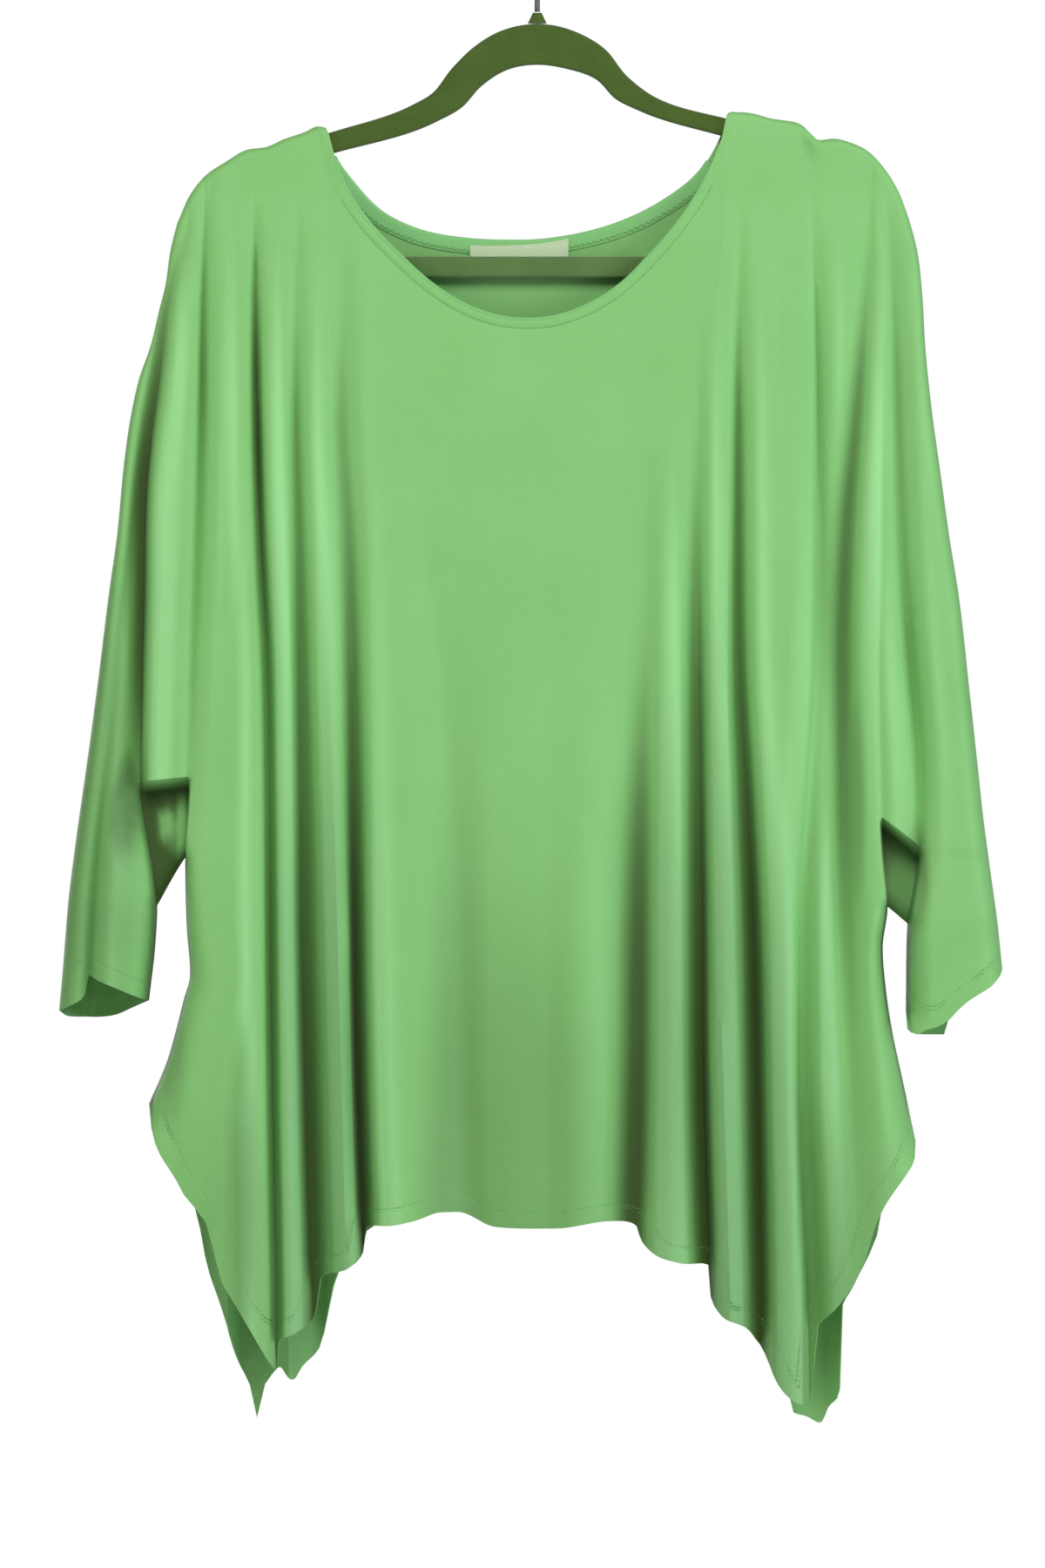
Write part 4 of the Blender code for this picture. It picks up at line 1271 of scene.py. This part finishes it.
class Signal:
    """A value in a shader, with the usual arithmetic written as nodes."""

    def __init__(self, graph: "Graph", socket: Socket) -> None:
        """Wraps a socket of a graph."""
        self.graph, self.socket = graph, socket

    def _maths(self, operation: str, *values: Term, clamp: bool = False) -> "Signal":
        """Adds one Math node, and wraps what it gives."""
        node = self.graph.node("ShaderNodeMath", {"operation": operation, "use_clamp": clamp}, *values)
        return Signal(self.graph, node.outputs[0])

    def __add__(self, other: Term) -> "Signal":
        """This plus another."""
        return self._maths("ADD", self, other)

    def __sub__(self, other: Term) -> "Signal":
        """This less another."""
        return self._maths("SUBTRACT", self, other)

    def __mul__(self, other: Term) -> "Signal":
        """This times another."""
        return self._maths("MULTIPLY", self, other)

    def __truediv__(self, other: Term) -> "Signal":
        """This over another."""
        return self._maths("DIVIDE", self, other)

    def __radd__(self, other: Term) -> "Signal":
        """Another plus this."""
        return self._maths("ADD", other, self)

    def __rsub__(self, other: Term) -> "Signal":
        """Another less this."""
        return self._maths("SUBTRACT", other, self)

    def __rmul__(self, other: Term) -> "Signal":
        """Another times this."""
        return self._maths("MULTIPLY", other, self)

    def sine(self) -> "Signal":
        """Its sine."""
        return self._maths("SINE", self)

    def magnitude(self) -> "Signal":
        """Its size without its sign."""
        return self._maths("ABSOLUTE", self)

    def fraction(self) -> "Signal":
        """What is left of it past a whole number."""
        return self._maths("FRACT", self)

    def limited(self) -> "Signal":
        """It, kept from 0 to 1."""
        return self._maths("ADD", self, 0.0, clamp=True)


class Graph:
    """A material's nodes, with one call for any node."""

    def __init__(self, name: str) -> None:
        """Starts a material with its Principled shader.

        Args:
            name: The material's name.
        """
        self.material = bpy.data.materials.new(name)
        self.material.use_nodes = True
        self.tree = self.material.node_tree
        self.shader = self.tree.nodes["Principled BSDF"]

    def node(self, kind: str, settings: dict[str, Any], *values: Term, **named: Term) -> bpy.types.Node:
        """Adds a node.

        Args:
            kind: Its type.
            settings: Its properties, set before its sockets.
            *values: Values or links for its first inputs, in order.
            **named: Values or links by input name, with _ for a space.

        Returns:
            The node.
        """
        made = self.tree.nodes.new(kind)
        for key, value in settings.items():
            setattr(made, key, value)
        by_name = [(made.inputs[key.replace("_", " ")], value) for key, value in named.items()]
        for socket, value in [*zip(made.inputs, values), *by_name]:
            self.set(socket, value)
        return made

    def set(self, socket: Socket, value: Term) -> None:
        """Links a signal or an output to a socket, or sets its number or colour.

        Args:
            socket: The input.
            value: What it gets.
        """
        if isinstance(value, Signal):
            value = value.socket
        if isinstance(value, bpy.types.NodeSocket):
            self.tree.links.new(value, socket)
        else:
            socket.default_value = value

    def noise(self, vector: Socket, scale: float, detail: float = 3.0, roughness: float = 0.5) -> Signal:
        """Adds cloudy noise.

        Args:
            vector: Where it is read.
            scale: How fine it is.
            detail: How many finer layers it has.
            roughness: How strong they are.

        Returns:
            The noise, from 0 to 1.
        """
        settings = {"Vector": vector, "Scale": scale, "Detail": detail, "Roughness": roughness}
        return Signal(self, self.node("ShaderNodeTexNoise", {}, **settings).outputs[0])

    def mixed(self, share: Term, first: Term, second: Term) -> Socket:
        """Mixes two colours.

        Args:
            share: How much of the second one there is.
            first: A colour.
            second: Another colour.

        Returns:
            The mixed colour's socket.
        """
        made = self.node("ShaderNodeMix", {"data_type": "RGBA"})
        for index, value in ((0, share), (6, first), (7, second)):
            self.set(made.inputs[index], value)
        return made.outputs[2]

    def bump(self, height: Signal, distance: float, strength: float = 1.0) -> None:
        """Links a height to the shader's normal.

        Args:
            height: The relief, about from 0 to 1.
            distance: What 1 stands for, in metres.
            strength: How much of it shows.
        """
        made = self.node("ShaderNodeBump", {}, Strength=strength, Distance=distance)
        self.set(made.inputs["Height"], height)
        self.set(self.shader.inputs["Normal"], made.outputs["Normal"])

    def finish(self, **named: Term) -> Material:
        """Sets the Principled shader's inputs.

        Args:
            **named: Values or links by input name, with _ for a space.

        Returns:
            The material.
        """
        for key, value in named.items():
            self.set(self.shader.inputs[key.replace("_", " ")], value)
        return self.material


def linear(red: float, green: float, blue: float) -> Numbers:
    """Turns an sRGB colour into a linear one.

    Args:
        red: From 0 to 255.
        green: From 0 to 255.
        blue: From 0 to 255.

    Returns:
        Linear red, green, blue and alpha.
    """
    parts = [c / 255 for c in (red, green, blue)]
    return tuple(c / 12.92 if c <= 0.04045 else ((c + 0.055) / 1.055) ** 2.4 for c in parts) + (1.0,)


@dataclass(frozen=True)
class JerseyFinish:
    """Plain viscose jersey: a fine knit with a soft sheen and slight unevenness of colour, with painted shade
    down in its folds and a painted highlight on their crests.

    Attributes:
        pale: Its sRGB colour where the yarn is thinner.
        deep: Where the yarn is thicker.
        worn: The painted highlight colour on the folds' crests.
        shade: The painted shade colour down in the folds, or empty for a piece that has none.
        wale: Width of one column of stitches, in metres.
        course: Height of one row of stitches, in metres.
        roughness: How matt the yarn is.
    """

    pale: Numbers = (147, 209, 129)
    deep: Numbers = (126, 190, 105)
    worn: Numbers = (157, 222, 144)
    shade: Numbers = (60, 80, 32)
    wale: float = 0.0009
    course: float = 0.00075
    roughness: float = 0.52

    def build(self, name: str = "jersey") -> Material:
        """Makes the material.

        Args:
            name: What it is called.

        Returns:
            The material.
        """
        graph = Graph(name)
        place = graph.node("ShaderNodeUVMap", {"uv_map": "knit"}).outputs["UV"]
        parts = graph.node("ShaderNodeSeparateXYZ", {}, place)
        u, v = Signal(graph, parts.outputs[0]), Signal(graph, parts.outputs[1])
        body = graph.node("ShaderNodeTexCoord", {}).outputs["Object"]
        clouds = graph.noise(body, 14.0, 4.0)
        flecks = graph.noise(body, 900.0, 2.0, 0.6)
        column = (u * (1 / self.wale)).fraction() - 0.5
        lean = column.magnitude() * 1.1
        rows = (v * (1 / self.course) + lean).fraction() - 0.5
        loop = (0.5 - rows.magnitude()) * (1.0 - (column.magnitude() - 0.25).magnitude() * 2.6)
        height = loop * 1.6 + flecks * 0.5
        tone = (clouds * 0.55 + flecks * 0.45 + loop * 0.25 - 0.1).limited()
        colour = graph.mixed(tone, linear(*self.deep), linear(*self.pale))
        # Painted highlight on the folds' crests, then painted shade down in the folds, from the mesh's
        # attributes
        if self.shade:
            crest = graph.node("ShaderNodeAttribute", {"attribute_name": "crest"}).outputs["Fac"]
            hollow = graph.node("ShaderNodeAttribute", {"attribute_name": "hollow"}).outputs["Fac"]
            colour = graph.mixed(crest, colour, linear(*self.worn))
            colour = graph.mixed(hollow, colour, linear(*self.shade))
        graph.bump(height, 0.00012, 0.55)
        return graph.finish(
            Base_Color=colour,
            Roughness=flecks * 0.1 + (self.roughness - 0.05),
            Sheen_Weight=0.07, Sheen_Roughness=0.35, Specular_IOR_Level=0.24,
        )


@dataclass(frozen=True)
class ThreadFinish:
    """Spun sewing thread in the cloth's colour, a little shinier.

    Attributes:
        colour: Its sRGB colour.
        shade: Between the twists.
    """

    colour: Numbers = (128, 196, 116)
    shade: Numbers = (96, 160, 84)

    def build(self, name: str = "thread") -> Material:
        """Makes the material.

        Args:
            name: What it is called.

        Returns:
            The material.
        """
        graph = Graph(name)
        body = graph.node("ShaderNodeTexCoord", {}).outputs["Object"]
        twist = graph.noise(body, 2500.0, 2.0)
        graph.bump(twist, 0.00008, 0.6)
        return graph.finish(
            Base_Color=graph.mixed(twist, linear(*self.shade), linear(*self.colour)),
            Roughness=twist * 0.2 + 0.4,
        )


@dataclass(frozen=True)
class LabelFinish:
    """Blank woven satin tape with fine ribs across it.

    Attributes:
        light: The ribs' sRGB colour.
        dark: Between the ribs.
        rib: From one rib to the next, in metres.
    """

    light: Numbers = (208, 226, 186)
    dark: Numbers = (178, 199, 152)
    rib: float = 0.0007

    def build(self, name: str = "label_tape") -> Material:
        """Makes the material.

        Args:
            name: What it is called.

        Returns:
            The material.
        """
        graph = Graph(name)
        place = graph.node("ShaderNodeUVMap", {"uv_map": "knit"}).outputs["UV"]
        parts = graph.node("ShaderNodeSeparateXYZ", {}, place)
        u, v = Signal(graph, parts.outputs[0]), Signal(graph, parts.outputs[1])
        ribs = (v * (6.2832 / self.rib)).sine() * 0.5 + 0.5
        yarns = (u * (6.2832 / (self.rib * 0.8))).sine() * 0.5 + 0.5
        body = graph.node("ShaderNodeTexCoord", {}).outputs["Object"]
        wear = graph.noise(body, 160.0, 3.0)
        tone = (ribs * 0.35 + yarns * 0.2 + wear * 0.5).limited()
        graph.bump(ribs + yarns * 0.5, 0.00006, 0.7)
        return graph.finish(
            Base_Color=graph.mixed(tone, linear(*self.dark), linear(*self.light)),
            Roughness=0.32 + wear * 0.2,
        )


@dataclass(frozen=True)
class FlockFinish:
    """Short dark olive flock: matt, with a soft lit rim, and with painted light that makes the lower bar
    paler than above.

    Attributes:
        deep: Its sRGB colour between the fibres.
        lit: At their tips.
        bar_deep: Between the fibres of the lower bar, painted paler.
        bar_lit: At their tips, likewise painted paler.
    """

    deep: Numbers = (58, 80, 26)
    lit: Numbers = (88, 114, 46)
    bar_deep: Numbers = (70, 98, 48)
    bar_lit: Numbers = (106, 142, 80)

    def build(self, name: str = "flock_pile") -> Material:
        """Makes the material.

        Args:
            name: What it is called.

        Returns:
            The material.
        """
        graph = Graph(name)
        body = graph.node("ShaderNodeTexCoord", {}).outputs["Object"]
        pile = graph.noise(body, 2200.0, 2.0, 0.7)
        patches = graph.noise(body, 40.0, 4.0)
        tone = (pile * 0.6 + patches * 0.5 - 0.05).limited()
        graph.bump(pile, 0.0003, 0.8)
        height = Signal(graph, graph.node("ShaderNodeSeparateXYZ", {}, body).outputs[2])
        # Painted light: below a drop of about 210 mm the bar is painted paler and cooler
        bar = ((height + 0.21) * -120.0).limited()
        upper = graph.mixed(tone, linear(*self.deep), linear(*self.lit))
        lower = graph.mixed(tone, linear(*self.bar_deep), linear(*self.bar_lit))
        return graph.finish(
            Base_Color=graph.mixed(bar, upper, lower),
            Roughness=0.85 + patches * 0.1,
            Sheen_Weight=0.6, Sheen_Roughness=0.4, Specular_IOR_Level=0.2,
        )


@dataclass(frozen=True)
class ChromeFinish:
    """Polished plated wire with faint drawing marks and finger haze.

    Attributes:
        bright: Its sRGB colour where it is clean.
        dull: Under the haze.
    """

    bright: Numbers = (222, 223, 225)
    dull: Numbers = (190, 191, 195)

    def build(self, name: str = "plated_wire") -> Material:
        """Makes the material.

        Args:
            name: What it is called.

        Returns:
            The material.
        """
        graph = Graph(name)
        body = graph.node("ShaderNodeTexCoord", {}).outputs["Object"]
        haze = graph.noise(body, 120.0, 4.0)
        marks = graph.noise(body, 1800.0, 2.0)
        graph.bump(marks, 0.00002, 0.4)
        return graph.finish(
            Base_Color=graph.mixed(haze, linear(*self.dull), linear(*self.bright)),
            Roughness=haze * 0.14 + 0.08, Metallic=1.0,
        )


@dataclass
class HangerLoop:
    """The moulded loop of the hanger, smooth all round.

    Attributes:
        outline: The outer edge, as (across, drop).
        hole: The inner edge.
        thick: Front to back, in millimetres.
        count: Points round each edge.
    """

    outline: Points = (
        (0, 85), (12, 86.2), (24, 90), (41, 100), (55, 117), (66, 126), (118, 143.4),
        (144, 149.5), (172, 157.5), (190, 163.5), (201, 168.5), (210, 176.5), (218, 190),
        (223, 206), (224.5, 222), (220, 233.5), (209, 239), (190, 240), (-190, 240), (-206, 239),
        (-216, 233.5), (-219.5, 222), (-217.5, 209), (-208.5, 193.5), (-199, 180.5), (-188, 172.5),
        (-176, 166.5), (-152, 160), (-129, 152.2), (-76, 134.3), (-65, 128), (-52, 112),
        (-38, 98.5), (-24, 90), (-12, 86.2),
    )
    hole: Points = (
        (0, 110), (18, 112.5), (36, 119), (48, 131), (62, 138), (118, 155), (170, 170.5),
        (186, 176.5), (197, 184), (206, 196), (211, 212), (208, 222), (199, 226.5), (180, 227),
        (-180, 227), (-196, 226.3), (-204, 221), (-204.5, 211), (-198, 197), (-187, 184.5),
        (-174, 178.5), (-152, 172), (-126, 164.5), (-62, 145), (-46, 136), (-34, 123), (-18, 113),
    )
    thick: float = 5.0
    count: int = 420

    def build(self, name: str, collection: Collection, finish: Material) -> Piece:
        """Makes the loop from two rings that are bridged, thickened and rounded.

        Args:
            name: The piece's name.
            collection: Where it goes.
            finish: Its material.

        Returns:
            The new object.
        """
        deselect()
        bpy.ops.mesh.primitive_circle_add(vertices=self.count, radius=1, location=(0, 0, 0))
        piece = bpy.context.object
        piece.name = piece.data.name = name
        bpy.ops.object.mode_set(mode="EDIT")
        bpy.ops.mesh.select_all(action="SELECT")
        bpy.ops.mesh.duplicate()
        bpy.ops.object.mode_set(mode="OBJECT")
        around, inside = piece.data.vertices[: self.count], piece.data.vertices[self.count:]
        for vertices, path in ((around, self.outline), (inside, self.hole)):
            for vertex, (x, drop) in zip(vertices, self.ring(path)):
                vertex.co = (x * MM, -self.thick / 2 * MM, -drop * MM)
        bpy.ops.object.mode_set(mode="EDIT")
        bpy.ops.mesh.select_all(action="SELECT")
        bpy.ops.mesh.bridge_edge_loops()
        bpy.ops.mesh.normals_make_consistent(inside=False)
        bpy.ops.object.mode_set(mode="OBJECT")
        if piece.data.polygons[0].normal.y > 0:
            piece.data.flip_normals()
        for kind, settings in (
            ("SOLIDIFY", {"thickness": self.thick * MM, "offset": -1}),
            ("BEVEL", {"width": 2.1 * MM, "segments": 5, "limit_method": "ANGLE", "angle_limit": 0.9,
                       "use_clamp_overlap": True}),
        ):
            modifier = piece.modifiers.new(kind.lower(), kind)
            for key, value in settings.items():
                setattr(modifier, key, value)
            bpy.ops.object.modifier_apply(modifier=modifier.name)
        piece.data.materials.clear()
        piece.data.materials.append(finish)
        for holder in list(piece.users_collection):
            holder.objects.unlink(piece)
        collection.objects.link(piece)
        bpy.ops.object.shade_smooth_by_angle(angle=0.7)
        return piece

    def ring(self, path: Points) -> Array:
        """Spreads points evenly round a closed smooth curve.

        Args:
            path: The (across, drop) points that it goes through.

        Returns:
            The ring's points, as (across, drop).
        """
        points = np.array(path, float)
        padded = np.concatenate([points[-3:], points, points[:4]])
        run = np.concatenate([[0], np.cumsum(np.hypot(*np.diff(padded, axis=0).T))])
        at = np.linspace(run[3], run[3 + len(points)], self.count, endpoint=False)
        return np.stack([smooth(at, run, padded[:, k]) for k in (0, 1)], axis=1)


@dataclass
class Studio:
    """Camera, lights and floor.

    Attributes:
        target: What the camera looks at, in metres.
        away: How far off the camera is.
        lens: Focal length in millimetres.
        floor: The floor's height, in metres.
        soft_light: How strong the even light all round is.
    """

    target: Place = (-0.009, -0.015, -0.549)
    away: float = 4.5
    lens: float = 169.8
    floor: float = -1.6
    soft_light: float = 0.06

    def build(self) -> None:
        """Sets up the view."""
        scene = bpy.context.scene
        scene.view_settings.view_transform = "Standard"
        camera_data = bpy.data.cameras.new("camera")
        camera_data.lens, camera_data.sensor_width = self.lens, 36.0
        camera_data.clip_end = 50
        camera = bpy.data.objects.new("camera", camera_data)
        camera.location = (self.target[0], self.target[1] - self.away, self.target[2])
        camera.rotation_euler = (np.pi / 2, 0, 0)
        scene.collection.objects.link(camera)
        scene.camera = camera
        self.world(scene)
        self.lamp("key", (0.3, -2.8, 1.6), 1.5, 76.0)
        self.lamp("left", (-2.8, -1.2, 0.2), 1.6, 25.0)
        self.lamp("right", (2.8, -1.2, 0.0), 1.6, 41.0, (0.92, 1.0, 1.2))
        self.lamp("behind", (-0.6, 3.0, 0.2), 2.4, 40.0)

    def world(self, scene: bpy.types.Scene) -> None:
        """Makes the world white to the camera, and an even soft light to everything else.

        Args:
            scene: The scene that gets it.
        """
        world = bpy.data.worlds.new("studio")
        world.use_nodes = True
        nodes, links = world.node_tree.nodes, world.node_tree.links
        shown = nodes["Background"]
        shown.inputs["Color"].default_value = (1, 1, 1, 1)
        shown.inputs["Strength"].default_value = 1.0
        soft = nodes.new("ShaderNodeBackground")
        soft.inputs["Color"].default_value = (1, 1, 1, 1)
        soft.inputs["Strength"].default_value = self.soft_light
        mix, path = nodes.new("ShaderNodeMixShader"), nodes.new("ShaderNodeLightPath")
        links.new(path.outputs["Is Camera Ray"], mix.inputs[0])
        links.new(soft.outputs[0], mix.inputs[1])
        links.new(shown.outputs[0], mix.inputs[2])
        links.new(mix.outputs[0], nodes["World Output"].inputs[0])
        scene.world = world

    def lamp(self, name: str, place: Place, size: float, power: float, tint: Place = (1.0, 1.0, 1.0)) -> None:
        """Adds a square soft light that faces the shirt's middle.

        Args:
            name: What it is called.
            place: Where it stands, in metres.
            size: The length of its sides, in metres.
            power: Its power in watts.
            tint: Its colour.
        """
        data = bpy.data.lights.new(name, "AREA")
        data.size, data.energy, data.color = size, power, tint
        lamp = bpy.data.objects.new(name, data)
        lamp.location = place
        way = np.array([0.0, 0.0, -0.5]) - np.array(place)
        lamp.rotation_mode = "QUATERNION"
        lamp.rotation_quaternion = Vector(way).to_track_quat("-Z", "Y")
        bpy.context.scene.collection.objects.link(lamp)

    def ground(self) -> None:
        """A plain pale floor, well below the hem."""
        deselect()
        bpy.ops.mesh.primitive_plane_add(size=6, location=(0, 0, self.floor))
        plane = bpy.context.object
        plane.name = "floor"
        graph = Graph("floor_paint")
        body = graph.node("ShaderNodeTexCoord", {}).outputs["Object"]
        grain = graph.noise(body, 30.0)
        plane.data.materials.append(graph.finish(
            Base_Color=graph.mixed(grain, linear(236, 236, 236), linear(243, 243, 243)), Roughness=0.85
        ))


@dataclass
class Shirt:
    """The whole garment: two panels, two neck bands, the label and all stitching.

    Attributes:
        front: The front as it hangs.
        back: The back as it hangs.
        collection: Where the pieces go.
    """

    front: Drape
    back: Drape
    collection: bpy.types.Collection

    def build(self) -> None:
        jersey = JerseyFinish().build("jersey")
        facing = JerseyFinish(
            pale=(143, 208, 132), deep=(123, 188, 110), shade=(), roughness=0.58
        ).build("facing_jersey")
        thread = ThreadFinish().build()
        for drape, name in ((self.front, "front"), (self.back, "back")):
            panel = Cloth(drape).build(name + "_cloth", self.collection, jersey)
            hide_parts(name + "_panel")
            band = NeckBand(drape).build(name + "_neck_band", self.collection, facing)
            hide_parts(name + "_neck_facing")
            stitches = self.stitching(drape, name, thread)
            for piece, slot in ((panel, "jersey"), (band, "facing"), (stitches, "jersey")):
                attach(piece, "root")
        self.label()

    def stitching(self, drape: Drape, name: str, finish: Material) -> Piece:
        """Makes the stitch rows of one panel: hem, cuffs and neck.

        Args:
            drape: The panel's form.
            name: Its short name.
            finish: The thread's material.

        Returns:
            All its stitches as one object.
        """
        us = np.linspace(0, len(drape.lines) - 1, 900)
        body = us[(us >= drape.notches[0][1]) & (us <= drape.notches[1][0])]
        left, right = us[us <= drape.notches[0][0]], us[us >= drape.notches[1][1]]
        groups = []
        row = StitchRow(Stitch.TWIN)
        edges = drape.hem_line, *drape.cuff_lines
        for part, edge in zip((body, left, right), edges):
            end = drape.end_of(part)
            for k in range(row.kind.value):
                x, drop = drape.inset(edge, HEM_TURN - TWIN_GAP * k, part, end - 60, end, False)
                groups.append(row.along(x, drop, drape))
        top = drape.meets(us, drape.rim, 100, 400)
        x_top = drape.x_at(us, top)
        first, last = drape.neck[0][0] + NECK_STITCH_CLEAR, drape.neck[-1][0] - NECK_STITCH_CLEAR
        neck = us[(x_top > first) & (x_top < last)]
        top = drape.meets(neck, drape.rim, 100, 400)
        x, drop = drape.inset(drape.neck_line, NECK_STITCH, neck, top, top + 40, True)
        groups.append(StitchRow(pitch=2.6, length=2.0, radius=0.2).along(x, drop, drape))
        groups.append(self.overlock(drape, neck, top))
        return thread_pieces(name + "_stitches", groups, row.radius, row.length, self.collection, finish)

    def overlock(self, drape: Drape, us: Array, top: Array) -> Threads:
        """Lays slanting threads over the facing's lower edge, on the inside.

        Args:
            drape: The panel's form.
            us: The columns along the neck.
            top: The neck's drop at each column.

        Returns:
            Middles, directions and normals, three arrays.
        """
        x, drop = drape.inset(drape.neck_line, FACING_WIDTH - 1.6, us, top, top + 40, True)
        middle, way, up = StitchRow(pitch=1.9, lift=-1.9).along(x, drop, drape)
        across = np.cross(way, up)
        slant = across + way * np.where(np.arange(len(way)) % 2, 0.75, -0.75)[:, None]
        return middle, slant / np.linalg.norm(slant, axis=1)[:, None], up

    def label(self) -> None:
        """A blank tape sewn below the middle of the back neck."""
        xs = np.linspace(*LABEL_ENDS, 61)
        line = np.interp(xs, *self.back.neck_line.T) + np.interp(xs, LABEL_ENDS, LABEL_DROP)
        rows = []
        for s, n in LABEL_SECTION:
            base, normal = self.back.place(xs, line + s)
            rows.append(base + normal * n)
        finish = LabelFinish().build()
        tape = closed_strip("neck_label_tape", np.array(rows), True, self.collection, finish)
        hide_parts("neck_label")
        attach(tape, "root")


@dataclass
class Hanger:
    """The hanger: its flocked loop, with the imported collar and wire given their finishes.

    Attributes:
        collection: Where its piece goes.
    """

    collection: bpy.types.Collection

    def build(self) -> None:
        """Makes the loop and finishes the collar and the hook."""
        flock = FlockFinish().build()
        loop = HangerLoop().build("hanger_loop", self.collection, flock)
        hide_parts("hanger_body")
        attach(loop, "root")
        for node, finish in (("hook_collar", flock), ("hanger_hook", ChromeFinish().build())):
            for slot in frame["nodes"][node].material_slots:
                slot.material = finish


def main() -> None:
    """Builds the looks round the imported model."""
    logging.basicConfig(level=logging.INFO, format="%(name)s: %(message)s")
    pieces = bpy.data.collections.new("jersey_shirt_looks")
    bpy.context.scene.collection.children.link(pieces)
    front = Drape(Side.FRONT, FRONT_LINES, NECK_FRONT, HEM_FRONT, CUFFS_FRONT, True, 11, FRONT_SPOTS)
    back = Drape(Side.BACK, BACK_LINES, NECK_BACK, HEM_BACK, CUFFS_BACK, False, 23)
    Hanger(pieces).build()
    Shirt(front, back, pieces).build()
    studio = Studio()
    studio.build()
    studio.ground()
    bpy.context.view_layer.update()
    for piece in pieces.objects:
        log.info("%s: %d faces", piece.name, len(piece.data.polygons))


if __name__ == "__main__":
    main()
